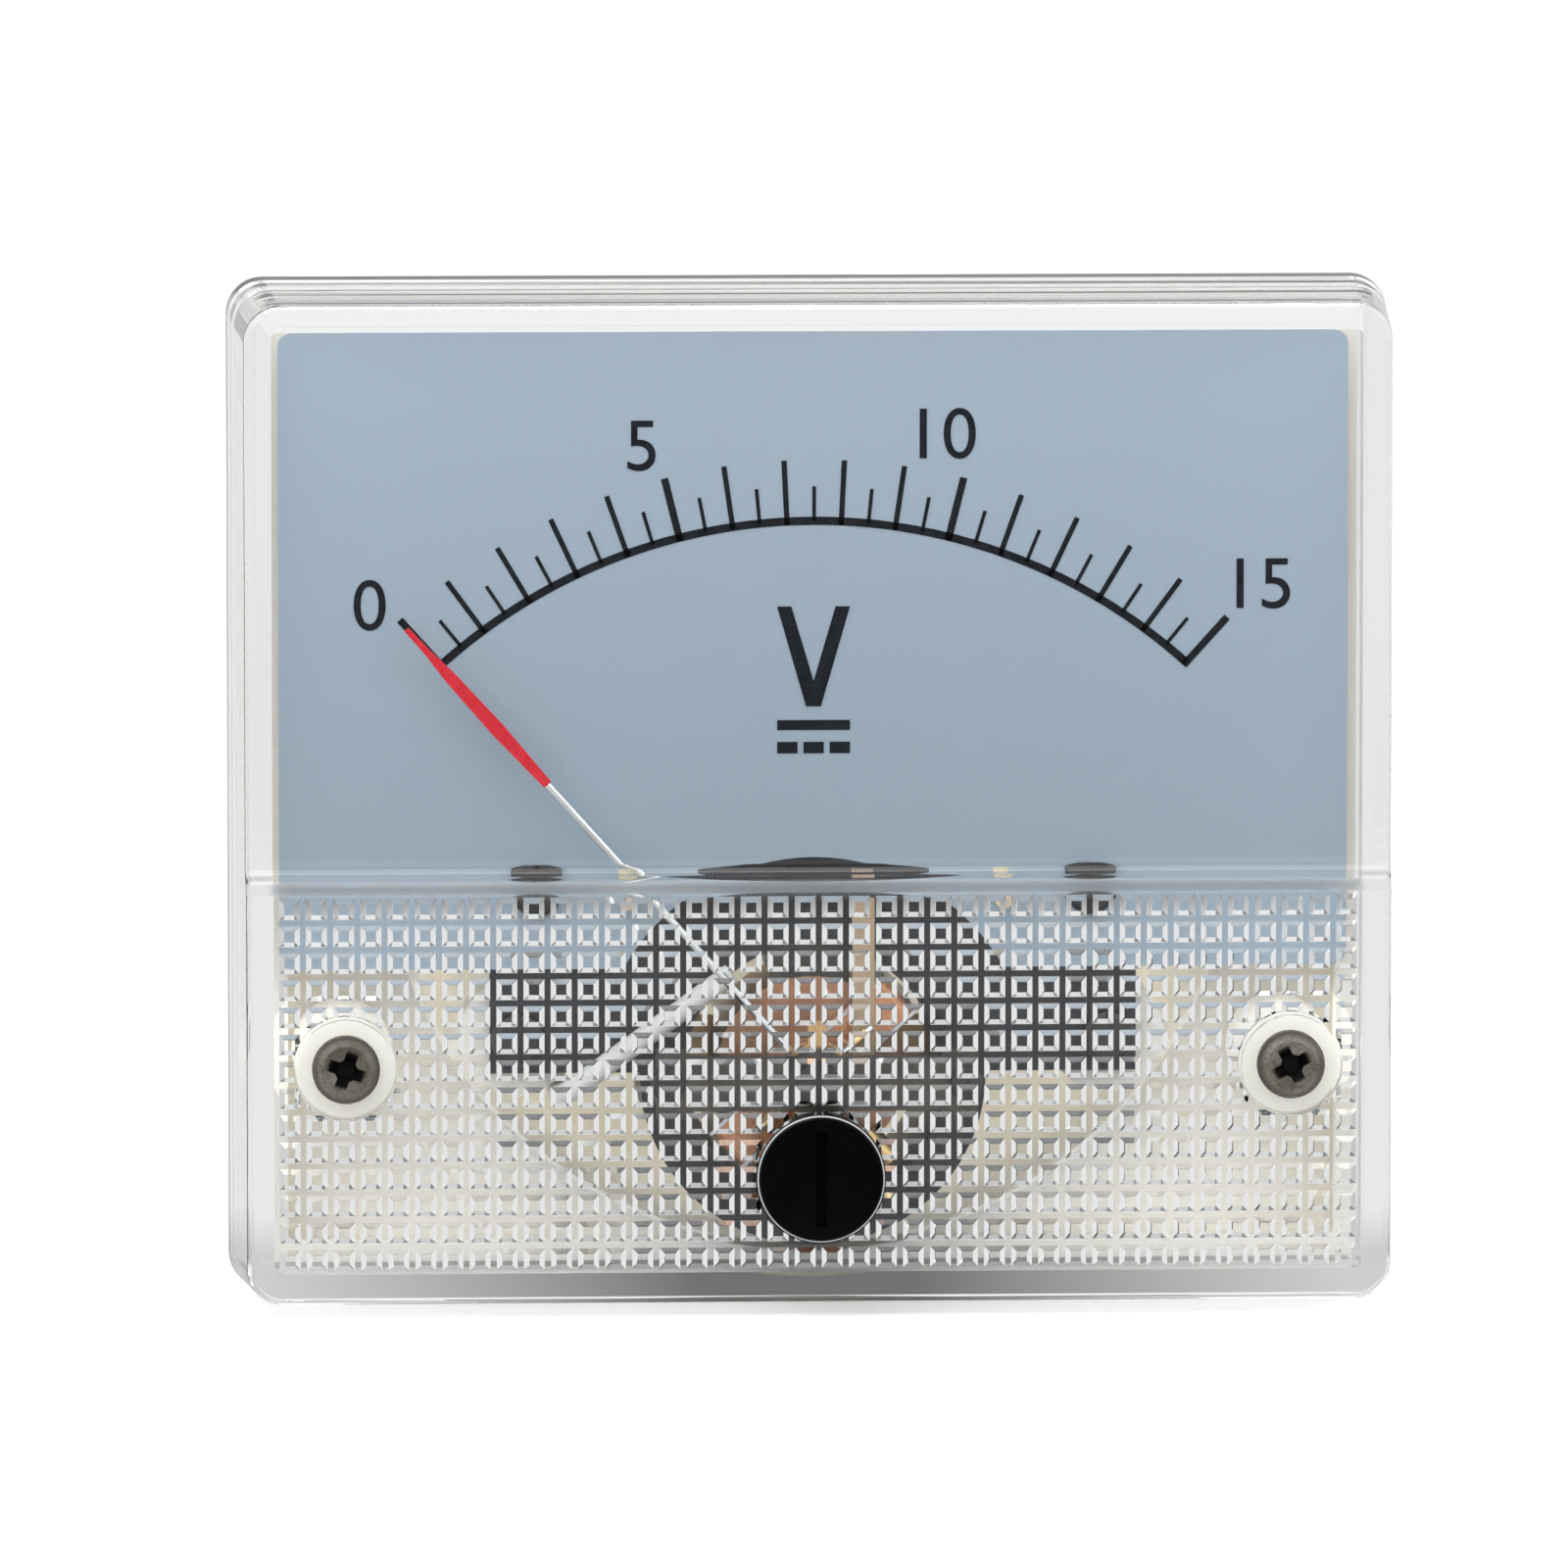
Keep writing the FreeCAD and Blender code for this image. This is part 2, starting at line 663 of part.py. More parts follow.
def jewel_screw(y_outer, y_inner):
    """Threaded bush with a slot outside and a pocket for its jewel inside."""
    inward = 1 if y_inner > y_outer else -1
    body = cylinder(jewel_screw_radius, min(y_outer, y_inner), max(y_outer, y_inner), 0, pivot_z)
    pocket = y_inner - inward * jewel_height
    low, high = min(pocket, y_inner + inward), max(pocket, y_inner + inward)
    body = body.cut(cylinder(jewel_radius + seat_gap, low, high, 0, pivot_z))
    return slotted(body, 2 * jewel_screw_radius, y_outer, 0, pivot_z, inward)


def jewel(y_inner, inward):
    """Red bearing stone with a blind hole for the pivot."""
    y_outer = y_inner - inward * jewel_height
    stone = cylinder(jewel_radius, min(y_inner, y_outer), max(y_inner, y_outer), 0, pivot_z)
    floor = y_inner - inward * jewel_hole
    low, high = min(floor, y_inner + inward), max(floor, y_inner + inward)
    return stone.cut(cylinder(pivot_radius + pivot_clearance, low, high, 0, pivot_z))


def coil_former():
    """Aluminium channel bent into a rectangle that clears the core all round."""
    half = former_width / 2

    def loop(grow, width):
        outer = block(
            -former_half - grow, former_half + grow,
            former_front - grow, former_back + grow,
            pivot_z - width, pivot_z + width,
        )
        return outer

    cheeks = loop(winding_depth + cheek_lip, half)
    cheeks = cheeks.cut(loop(winding_depth + 2 * cheek_lip, half - former_cheek))
    body = loop(0, half).fuse(cheeks)
    body = body.cut(loop(-former_wall, half + 1))
    return swung(joined(body), rest_angle)


def coil_winding():
    """Copper winding laid in the former's channel."""
    width = former_width / 2 - former_cheek - seat_gap
    gap = seat_gap

    def loop(grow, half):
        return block(
            -former_half - grow, former_half + grow,
            former_front - grow, former_back + grow,
            pivot_z - half, pivot_z + half,
        )

    outer = loop(winding_depth, width)
    outer = outer.makeFillet(0.5, [e for e in outer.Edges if abs(e.tangentAt(0).z) > 0.9])
    return swung(outer.cut(loop(gap, width + 1)), rest_angle)


def staff(y_coil, y_tip, y_spring):
    """Hub cemented on the coil, with its staff and the collet of the hairspring."""
    outward = 1 if y_tip > y_coil else -1
    y_hub = y_coil + outward * hub_height
    y_end = y_tip - outward * pivot_length
    profile = [
        (0, y_coil),
        (hub_radius, y_coil),
        (hub_radius, y_hub),
        (staff_radius, y_hub),
        (staff_radius, y_spring - outward * 0.05),
        (spring_start - 0.06, y_spring - outward * 0.05),
        (spring_start - 0.06, y_end - outward * 0.02),
        (staff_radius, y_end - outward * 0.02),
        (staff_radius, y_end),
        (0, y_end),
    ]
    return turned(profile, 0, pivot_z)


def pivot(y_tip, outward):
    """Hardened steel pivot with a rounded point."""
    y_end = y_tip - outward * pivot_length
    profile = [
        (0, y_end),
        (pivot_radius, y_end),
        (pivot_radius, y_tip - outward * 0.2),
        (pivot_radius * 0.5, y_tip),
        (0, y_tip),
    ]
    return turned(profile, 0, pivot_z)


def spring_centres():
    """Centre and radius of each half turn of a hairspring."""
    centre = 0.0
    halves = []
    for i in range(spring_half_turns):
        radius = spring_start + i * spring_step
        halves.append((centre, radius))
        sign = -1 if i % 2 == 0 else 1
        centre = centre - sign * spring_step
    return halves


def spring_end():
    """Distance from the pivot to the middle of the spring's outer end."""
    centre, radius = spring_centres()[-1]
    sign = -1 if spring_half_turns % 2 == 1 else 1
    return abs(centre + sign * radius)


def hairspring(y_front, end_angle):
    """Flat spiral of half-circle arcs whose outer end lies at the given angle."""
    halves = spring_centres()

    def arcs(offset):
        edges = []
        for i, (centre, radius) in enumerate(halves):
            sign = 1 if i % 2 == 0 else -1
            r = radius + offset
            start = point(centre + sign * r, 0, 0)
            top = point(centre, 0, sign * r)
            end = point(centre - sign * r, 0, 0)
            edges.append(Part.Arc(start, top, end).toShape())
        return edges

    outer = arcs(spring_strip / 2)
    inner = arcs(-spring_strip / 2)
    first_cap = Part.makeLine(inner[0].Vertexes[0].Point, outer[0].Vertexes[0].Point)
    last_cap = Part.makeLine(outer[-1].Vertexes[-1].Point, inner[-1].Vertexes[-1].Point)
    wire = Part.Wire(Part.__sortEdges__(outer + [last_cap] + inner + [first_cap]))
    strip = Part.Face(wire).extrude(point(0, spring_width, 0))
    strip.translate(point(0, y_front, pivot_z))
    return swung(strip, end_angle + 90)


def pointer_arm():
    """Hub with the long arm, two side arms and the tail, all of one light wire."""
    body = ring(
        pointer_hub_radius, staff_radius + seat_gap,
        pointer_y - pointer_hub_height / 2, pointer_y + pointer_hub_height / 2, 0, pivot_z,
    )
    reaches = (arm_reach, side_reach, tail_reach, side_reach)
    start = staff_radius + 0.2
    for i, reach in enumerate(reaches):
        wire = Part.makeCylinder(arm_radius, reach - start, point(0, pointer_y, pivot_z + start))
        body = body.fuse(swung(wire, 90 * i))
    return swung(joined(body), rest_angle)


def pointer_blade():
    """Flat red blade on the arm's end, widest before the middle and drawn to a narrow tip."""
    z0 = pivot_z + arm_reach
    z1 = pivot_z + blade_tip
    length = blade_tip - arm_reach
    widths = (
        (0.0, blade_root_width),
        (0.35, blade_width),
        (0.7, (blade_width + blade_root_width) / 2),
        (0.85, blade_tip_width * 1.2),
        (1.0, blade_tip_width),
    )
    right = [point(w / 2, pointer_y - blade_thickness / 2, z0 + t * length) for t, w in widths]
    left = [point(-p.x, p.y, p.z) for p in reversed(right)]
    face = Part.Face(Part.makePolygon(right + left + right[:1]))
    return swung(face.extrude(point(0, blade_thickness, 0)), rest_angle)


def balance_length():
    """Length of the tail weight that balances arm and blade."""
    arm = swung(pointer_arm(), -rest_angle)
    blade = swung(pointer_blade(), -rest_angle)
    moment = arm.Volume * density_aluminium * (arm.CenterOfMass.z - pivot_z)
    moment = moment + blade.Volume * density_plastic * (blade.CenterOfMass.z - pivot_z)
    section = math.pi * (tail_weight_radius**2 - (arm_radius + seat_gap) ** 2)
    return moment / (section * density_brass * tail_weight_reach)


def tail_weight():
    """Brass sleeve on the pointer's tail."""
    length = balance_length()
    start = point(0, pointer_y, pivot_z - tail_weight_reach - length / 2)
    outer = Part.makeCylinder(tail_weight_radius, length, start)
    return swung(outer.cut(Part.makeCylinder(arm_radius + seat_gap, length, start)), rest_angle)


def side_weight(side):
    """Small brass sleeve on one side arm."""
    start = point(0, pointer_y, pivot_z + side_weight_reach - side_weight_length / 2)
    outer = Part.makeCylinder(side_weight_radius, side_weight_length, start)
    hole = Part.makeCylinder(arm_radius + seat_gap, side_weight_length, start)
    return swung(outer.cut(hole), rest_angle + side * 90)


def stop_pin(side):
    x, z = on_dial(stop_radius, side * stop_angle)
    return cylinder(stop_pin_radius, pointer_y - stop_pin_over, frame_back, x, z)


def stop_sleeve(side):
    x, z = on_dial(stop_radius, side * stop_angle)
    return ring(sleeve_radius, stop_pin_radius + seat_gap, pointer_y - sleeve_over, dial_front, x, z)


def zero_knob():
    """Black knob with a screwdriver slot, its stem through the cover and its crank pin."""
    front = lower_front - knob_proud
    head_back = lower_front - knob_end_play
    stem_back = lower_back + knob_boss_height + knob_end_play + retainer_thickness + knob_stem_over
    profile = [
        (0, front),
        (knob_radius - knob_chamfer, front),
        (knob_radius, front + knob_chamfer),
        (knob_radius, head_back),
        (knob_stem, head_back),
        (knob_stem, stem_back),
        (0, stem_back),
    ]
    body = turned(profile, 0, knob_z)
    half = knob_slot_width / 2
    low, high = knob_z - knob_slot_length / 2, knob_z + knob_slot_length / 2
    body = body.cut(block(-half, half, front - 1, front + knob_slot_depth, low, high))
    pin = cylinder(crank_radius, stem_back - 0.5, lever_back + loose_gap, 0, knob_z - crank_offset)
    return joined(body.fuse(pin))


def knob_retainer():
    """Push-on ring that keeps the knob in the cover."""
    y0 = lower_back + knob_boss_height + knob_end_play
    return ring(retainer_radius, knob_stem + seat_gap, y0, y0 + retainer_thickness, 0, knob_z)


def zero_lever():
    """Ring round the jewel screw, a fork that the crank pin turns and the spring's tab."""
    y0, y1 = lever_front, lever_back
    tip = knob_z - crank_offset - crank_radius - fork_overhang
    body = cylinder(lever_ring, y0, y1, 0, pivot_z)
    body = body.fuse(block(-fork_half_width, fork_half_width, y0, y1, tip, pivot_z))
    tab_reach = spring_end()
    tab_top = pivot_z + tab_reach + lever_tab_over
    body = body.fuse(block(-lever_tab_half, lever_tab_half, y0, y1, pivot_z, tab_top))
    body = body.cut(cylinder(jewel_screw_radius + 0.05, y0 - 1, y1 + 1, 0, pivot_z))
    half = crank_radius + fork_clearance
    slot_top = knob_z - crank_offset + crank_radius + fork_overhang
    body = body.cut(block(-half, half, y0 - 1, y1 + 1, tip - 1, slot_top))
    body = body.cut(cylinder(half, y0 - 1, y1 + 1, 0, slot_top))
    stud_z = pivot_z + tab_reach + spring_stud_offset
    stud = cylinder(spring_stud_radius, y0, front_spring_y + spring_width, 0, stud_z)
    return joined(body.fuse(stud))


def lead_strip():
    """Beige insulating strip beside the pivot, bent down onto the movement frame."""
    y0 = frame_front - strip_stand
    top = pivot_z + strip_high
    arm = block(strip_inner, strip_outer, y0, y0 + strip_thickness, pivot_z + strip_low, top)
    foot = block(strip_inner, strip_outer, y0, frame_front, top - strip_foot, top)
    return joined(arm.fuse(foot))


def terminal_stud(side):
    """Threaded stud with its head inside the barrel and a free end beyond the nut."""
    washer, lug, nut, end = terminal_stack()
    profile = [
        (0, barrel_inside - terminal_head_height),
        (terminal_head, barrel_inside - terminal_head_height),
        (terminal_head, barrel_inside),
        (terminal_radius, barrel_inside),
        (terminal_radius, end + terminal_neck),
        (terminal_free_radius, end + terminal_neck),
        (terminal_free_radius, terminal_end - terminal_chamfer),
        (terminal_free_radius - terminal_chamfer, terminal_end),
        (0, terminal_end),
    ]
    return turned(profile, side * terminal_x, 0)


def terminal_stack():
    """Depths of the washer, the lug, the nut and the nut's outer face."""
    washer = barrel_length + terminal_boss_height
    lug = washer + washer_thickness
    nut = lug + lug_thickness
    return washer, lug, nut, nut + nut_height


def terminal_washer(side):
    washer, lug, nut, end = terminal_stack()
    return ring(washer_radius, terminal_radius + loose_gap, washer, lug, side * terminal_x, 0)


def solder_lug(side):
    """Tinned tag under the nut, its tail pointing up and bent away from the barrel."""
    washer, lug, nut, end = terminal_stack()
    body = cylinder(lug_radius, lug, nut)
    half = lug_width / 2
    body = body.fuse(block(-half, half, lug, nut, 0, lug_length - half))
    body = body.fuse(cylinder(half, lug, nut, 0, lug_length - half))
    body = body.cut(cylinder(terminal_radius + loose_gap, lug - 1, nut + 1))
    body = body.cut(cylinder(lug_hole, lug - 1, nut + 1, 0, lug_length - half))
    body = joined(body)
    body.translate(point(side * terminal_x, 0, 0))
    return body


def terminal_nut(side):
    """Hexagon nut with chamfered corners."""
    washer, lug, nut, end = terminal_stack()
    corner = nut_flats / math.sqrt(3)
    ends = []
    for i in range(6):
        angle = math.radians(60 * i)
        ends.append(point(corner * math.cos(angle), nut, corner * math.sin(angle)))
    body = Part.Face(Part.makePolygon(ends + ends[:1])).extrude(point(0, nut_height, 0))
    soft = nut_chamfer
    profile = [
        (0, nut),
        (corner - soft, nut),
        (corner, nut + soft / 2),
        (corner, end - soft / 2),
        (corner - soft, end),
        (0, end),
    ]
    body = body.common(turned(profile))
    body = body.cut(cylinder(terminal_radius + thread_gap, nut - 1, end + 1))
    body.translate(point(side * terminal_x, 0, 0))
    return body


def mounting_stud(side):
    """Threaded stud whose thicker foot is moulded into the base's post."""
    profile = [
        (0, -mount_embed),
        (mount_anchor, -mount_embed),
        (mount_anchor, 0),
        (mount_radius, 0),
        (mount_radius, mount_end - mount_chamfer),
        (mount_radius - mount_chamfer, mount_end),
        (0, mount_end),
    ]
    return turned(profile, side * screw_x, screw_z)


def tube(radius, corners, bends):
    """Round wire along straight runs joined by tangent arcs, one bend radius per corner."""
    edges = []
    start = corners[0]
    for i, bend in enumerate(bends):
        corner = corners[i + 1]
        back = (start - corner).normalize()
        ahead = (corners[i + 2] - corner).normalize()
        half_angle = back.getAngle(ahead) / 2
        trim = bend / math.tan(half_angle)
        first = corner + back * trim
        last = corner + ahead * trim
        bisector = (back + ahead).normalize()
        middle = corner + bisector * (bend / math.sin(half_angle) - bend)
        edges.append(Part.makeLine(start, first))
        edges.append(Part.Arc(first, middle, last).toShape())
        start = last
    edges.append(Part.makeLine(start, corners[-1]))
    path = Part.Wire(edges)
    heading = (corners[1] - corners[0]).normalize()
    profile = Part.Wire(Part.makeCircle(radius, corners[0], heading))
    body = path.makePipeShell([profile], True, False)
    print("wire length", round(path.Length, 2))
    return body


def lead_wire_front():
    """White insulated lead across the movement frame and back into the barrel."""
    y = frame_front - lead_radius - seat_gap
    corners = [
        point(-4.5, y, -7.9),
        point(-13.9, y, -14.7),
        point(-13.9, 8.0, -14.7),
        point(-10.8, 13.5, -10.9),
        point(-10.8, resistor_y, -3.0),
        point(-10.3, resistor_y, 0),
        point(-resistor_half_length - resistor_lead_out, resistor_y, 0),
    ]
    return tube(lead_radius, corners, lead_bends)


def lead_wire_rear():
    """White insulated lead from the rear spring's stud to the left terminal."""
    end = barrel_inside - terminal_head_height
    y1, y2, y3 = [rear_bridge_back + share * (end - rear_bridge_back) for share in rear_lead_turns]
    start_x = -spring_end() - spring_stud_offset
    corners = [
        point(start_x, rear_bridge_back, pivot_z),
        point(start_x, y1, pivot_z),
        point(-7.5, y2, pivot_z + 6.5),
        point(-terminal_x, y3, 0),
        point(-terminal_x, end, 0),
    ]
    return tube(lead_radius, corners, rear_lead_bends)


def series_resistor():
    """Dog-bone body along X with its two wire leads."""
    profile = [
        (0, -resistor_half_length),
        (resistor_radius * 0.8, -resistor_half_length),
        (resistor_radius, -resistor_half_length + 0.5),
        (resistor_radius, -resistor_half_length + resistor_cap),
        (resistor_radius * 0.85, -resistor_half_length + resistor_cap + 0.8),
        (resistor_radius * 0.85, resistor_half_length - resistor_cap - 0.8),
        (resistor_radius, resistor_half_length - resistor_cap),
        (resistor_radius, resistor_half_length - 0.5),
        (resistor_radius * 0.8, resistor_half_length),
        (0, resistor_half_length),
    ]
    body = turned(profile)
    body.rotate(point(0, 0, 0), point(0, 0, 1), -90)
    body.translate(point(0, resistor_y, 0))
    corners = [
        point(resistor_half_length - 1, resistor_y, 0),
        point(terminal_x, resistor_y, 0),
        point(terminal_x, barrel_inside - terminal_head_height, 0),
    ]
    body = body.fuse(tube(resistor_lead, corners, (resistor_bend,)))
    left_end = -resistor_half_length - resistor_lead_out
    left = Part.makeCylinder(
        resistor_lead, resistor_lead_out + 1, point(left_end, resistor_y, 0), point(1, 0, 0)
    )
    return body.fuse(left)


def save(name, shape):
    solids = shape.Solids
    if len(solids) != 1 or not shape.isValid():
        print("CHECK", name, len(solids), shape.isValid())
    solids[0].exportStep(os.path.join("parts", name + ".step"))


def build():
    """Every piece by name, left and right ones made by the same functions."""
    front_tip = front_screw_back - jewel_hole + 0.05
    rear_tip = rear_screw_front + jewel_hole - 0.05
    pieces = {
        "front_cover": front_cover(),
        "base": base(),
        "dial_plate": dial_plate(),
        "movement_frame": movement_frame(),
        "yoke_ring": yoke_ring(),
        "core_magnet": core_magnet(),
        "core_holder": core_holder(),
        "front_bridge": front_bridge(),
        "rear_bridge": rear_bridge(),
        "front_jewel_screw": jewel_screw(jewel_screw_front, front_screw_back),
        "rear_jewel_screw": jewel_screw(rear_screw_front + jewel_screw_length, rear_screw_front),
        "front_jewel": jewel(front_screw_back, 1),
        "rear_jewel": jewel(rear_screw_front, -1),
        "coil_former": coil_former(),
        "coil_winding": coil_winding(),
        "front_staff": staff(cheek_front, front_tip, front_spring_y + spring_width),
        "rear_staff": staff(cheek_back, rear_tip, rear_spring_y),
        "front_pivot": pivot(front_tip, -1),
        "rear_pivot": pivot(rear_tip, 1),
        "front_hairspring": hairspring(front_spring_y, 0),
        "rear_hairspring": hairspring(rear_spring_y, -90),
        "pointer_arm": pointer_arm(),
        "pointer_blade": pointer_blade(),
        "tail_weight": tail_weight(),
        "zero_knob": zero_knob(),
        "knob_retainer": knob_retainer(),
        "zero_lever": zero_lever(),
        "lead_strip": lead_strip(),
        "series_resistor": series_resistor(),
        "lead_wire_front": lead_wire_front(),
        "lead_wire_rear": lead_wire_rear(),
    }
    pairs = {
        "cover_screw": cover_screw,
        "movement_screw": movement_screw,
        "dial_screw": dial_screw,
        "front_bridge_screw": front_bridge_screw,
        "rear_bridge_screw": rear_bridge_screw,
        "side_weight": side_weight,
        "stop_pin": stop_pin,
        "stop_sleeve": stop_sleeve,
        "terminal_stud": terminal_stud,
        "terminal_washer": terminal_washer,
        "solder_lug": solder_lug,
        "terminal_nut": terminal_nut,
        "mounting_stud": mounting_stud,
    }
    for name, make in pairs.items():
        pieces[name + "_left"] = make(-1)
        pieces[name + "_right"] = make(1)
    return pieces


os.makedirs("parts", exist_ok=True)
for piece_name, piece in build().items():
    save(piece_name, piece)
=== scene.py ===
import json
import math

import bmesh
import bpy
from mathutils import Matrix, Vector


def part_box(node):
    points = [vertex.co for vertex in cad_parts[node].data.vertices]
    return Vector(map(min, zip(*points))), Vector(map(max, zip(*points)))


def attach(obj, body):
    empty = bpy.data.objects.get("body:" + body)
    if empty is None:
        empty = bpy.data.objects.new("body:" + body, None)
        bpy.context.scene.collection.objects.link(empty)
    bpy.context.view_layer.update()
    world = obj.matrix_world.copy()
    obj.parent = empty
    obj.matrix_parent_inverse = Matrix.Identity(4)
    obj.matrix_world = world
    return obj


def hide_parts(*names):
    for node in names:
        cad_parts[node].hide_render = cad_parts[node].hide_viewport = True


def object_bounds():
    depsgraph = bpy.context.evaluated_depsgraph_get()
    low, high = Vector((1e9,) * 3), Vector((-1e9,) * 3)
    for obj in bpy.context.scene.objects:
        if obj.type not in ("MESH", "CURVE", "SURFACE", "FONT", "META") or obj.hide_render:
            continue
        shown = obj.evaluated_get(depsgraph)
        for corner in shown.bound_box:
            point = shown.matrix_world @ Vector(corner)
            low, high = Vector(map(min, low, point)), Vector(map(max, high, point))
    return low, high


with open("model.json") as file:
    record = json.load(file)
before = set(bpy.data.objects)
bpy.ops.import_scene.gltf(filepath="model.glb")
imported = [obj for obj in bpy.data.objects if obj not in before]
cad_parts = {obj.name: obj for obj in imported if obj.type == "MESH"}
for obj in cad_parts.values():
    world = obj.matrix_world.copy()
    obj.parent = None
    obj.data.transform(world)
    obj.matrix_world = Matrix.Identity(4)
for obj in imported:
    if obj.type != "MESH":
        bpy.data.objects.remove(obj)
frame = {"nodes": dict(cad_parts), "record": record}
cad_box = [list(corner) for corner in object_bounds()]
cad = frame["nodes"]
MM = 0.001


# Camera: a long lens a little above and to the left of the dial, as in the photograph
CAMERA_PLACE = Vector((-48.0, -913.0, 94.0)) * MM
CAMERA_AIM = Vector((-1.92, -13.0, 3.12)) * MM
LENS_MM = 382.0
SENSOR_MM = 36.0

# Places and limits on the part that finishes, print and marks go by, in millimetres.
# They follow the CAD. A limit may stand a little off the face that it takes in.
SCREW_X = 25.8
SCREW_Z = -12.4
SCREW_CROSS_RADIUS = 1.3
SCREW_CROSS_FRONT = -13.75
SCREW_CROSS_BACK = -13.5
SCREW_RIM_START = 1.45
SCREW_RIM_END = 1.75
KNOB_Z = -18.3
KNOB_EDGE_RADIUS = 3.40
KNOB_EDGE_BACK = -15.12
POST_RADIUS = 4.2
BASE_RIM = -1.6
BARREL_BORE = 23.7
BARREL_FLOOR = 26.3
BARREL_BACK = 28.0
STEP_EDGE_Z = -2.46
STEP_EDGE_HALF = 0.3
STEP_FRONT = -13.0
COVER_TOP = 29.3
DIAL_FOOT = -7.0
DIAL_HEAD = 27.0
PIVOT_Z = -13.5


def make_camera():
    data = bpy.data.cameras.new("camera")
    data.lens = LENS_MM
    data.sensor_width = SENSOR_MM
    data.clip_start = 0.01
    data.clip_end = 20.0
    camera = bpy.data.objects.new("camera", data)
    camera.location = CAMERA_PLACE
    camera.rotation_mode = "QUATERNION"
    camera.rotation_quaternion = (CAMERA_AIM - CAMERA_PLACE).to_track_quat("-Z", "Y")
    bpy.context.scene.collection.objects.link(camera)
    bpy.context.scene.camera = camera


# Node trees: the world and each material are built with these
class Nodes:
    """A node tree, with short names for the nodes that the finishes use."""

    def __init__(self, tree):
        self.tree = tree

    def add(self, kind, **values):
        node = self.tree.nodes.new(kind)
        for name, value in values.items():
            setattr(node, name, value)
        return node

    def feed(self, target, source):
        """Sets a socket to a number or a colour, or links it to another socket."""
        if isinstance(source, (int, float)):
            target.default_value = source
        elif isinstance(source, (tuple, list)):
            target.default_value = (*source, 1.0) if target.type == "RGBA" else source
        else:
            self.tree.links.new(target, source)

    def math(self, operation, first, second=0.0, third=0.0):
        node = self.add("ShaderNodeMath", operation=operation)
        for socket, value in zip(node.inputs, (first, second, third)):
            self.feed(socket, value)
        return node.outputs[0]

    def between(self, factor, low, high, start=0.3, end=0.7):
        """Low where the factor is at start, high where it is at end, and no further."""
        node = self.add("ShaderNodeMapRange", clamp=True)
        self.feed(node.inputs["Value"], factor)
        node.inputs["From Min"].default_value = start
        node.inputs["From Max"].default_value = end
        node.inputs["To Min"].default_value = low
        node.inputs["To Max"].default_value = high
        return node.outputs["Result"]

    def mix(self, factor, first, second):
        """A colour between two."""
        node = self.add("ShaderNodeMix", data_type="RGBA")
        self.feed(node.inputs[0], factor)
        self.feed(node.inputs[6], first)
        self.feed(node.inputs[7], second)
        return node.outputs[2]

    def pick(self, switch, otherwise, chosen):
        """One number or the other."""
        node = self.add("ShaderNodeMix", data_type="FLOAT")
        self.feed(node.inputs[0], switch)
        self.feed(node.inputs[2], otherwise)
        self.feed(node.inputs[3], chosen)
        return node.outputs[0]

    def either(self, switch, otherwise, chosen):
        """One shader or the other."""
        node = self.add("ShaderNodeMixShader")
        for socket, value in zip(node.inputs, (switch, otherwise, chosen)):
            self.feed(socket, value)
        return node.outputs[0]

    def split(self, vector):
        node = self.add("ShaderNodeSeparateXYZ")
        self.feed(node.inputs[0], vector)
        return node.outputs

    def apart(self, value, centre):
        """How far a value is from a centre, either way."""
        return self.math("ABSOLUTE", self.math("SUBTRACT", value, centre))


class Finish(Nodes):
    """A material; its patterns follow the place on the part."""

    def __init__(self, name):
        self.material = bpy.data.materials.new(name)
        self.material.use_nodes = True
        super().__init__(self.material.node_tree)
        self.shader = self.tree.nodes["Principled BSDF"]
        self.output = self.tree.nodes["Material Output"]
        self.place = self.add("ShaderNodeTexCoord").outputs["Object"]

    def noise(self, size_mm, detail=3.0, roughness=0.55, stretch=(1, 1, 1)):
        spread = self.add("ShaderNodeMapping")
        self.feed(spread.inputs["Vector"], self.place)
        spread.inputs["Scale"].default_value = [s / (size_mm * MM) for s in stretch]
        node = self.add("ShaderNodeTexNoise")
        self.feed(node.inputs["Vector"], spread.outputs[0])
        node.inputs["Scale"].default_value = 1.0
        node.inputs["Detail"].default_value = detail
        node.inputs["Roughness"].default_value = roughness
        return node.outputs["Fac"]

    def from_axis(self, x_mm, z_mm):
        """Distance from an axis along Y through this place, the same on both sides, and the depth."""
        place = self.split(self.place)
        across = self.math("SUBTRACT", self.math("ABSOLUTE", place["X"]), x_mm * MM)
        up = self.math("SUBTRACT", place["Z"], z_mm * MM)
        square = self.math("MULTIPLY_ADD", up, up, self.math("MULTIPLY", across, across))
        return self.math("SQRT", square), place["Y"]

    def bump(self, height, depth_mm):
        node = self.add("ShaderNodeBump")
        node.inputs["Distance"].default_value = depth_mm * MM
        self.feed(node.inputs["Height"], height)
        self.feed(self.shader.inputs["Normal"], node.outputs[0])

    def set(self, **values):
        for name, value in values.items():
            self.feed(self.shader.inputs[name.replace("_", " ")], value)

    def colour(self):
        """The colour that the shader has so far."""
        return self.shader.inputs["Base Color"].links[0].from_socket

    def show(self, shader):
        self.feed(self.output.inputs["Surface"], shader)


def moulded(name, colour, low_rough, high_rough, grain_mm=0.25, depth_mm=0.004, shade=0.9, specular=0.5):
    """Moulded plastic: faint cloudy colour, a fine mould grain and uneven gloss."""
    t = Finish(name)
    t.shader.inputs["Specular IOR Level"].default_value = specular
    darker = [c * shade for c in colour]
    t.set(
        Base_Color=t.mix(t.between(t.noise(6.0, 4.0), 0.0, 1.0), darker, colour),
        Roughness=t.between(t.noise(grain_mm * 6), low_rough, high_rough),
    )
    t.bump(t.noise(grain_mm, 2.0), depth_mm)
    return t


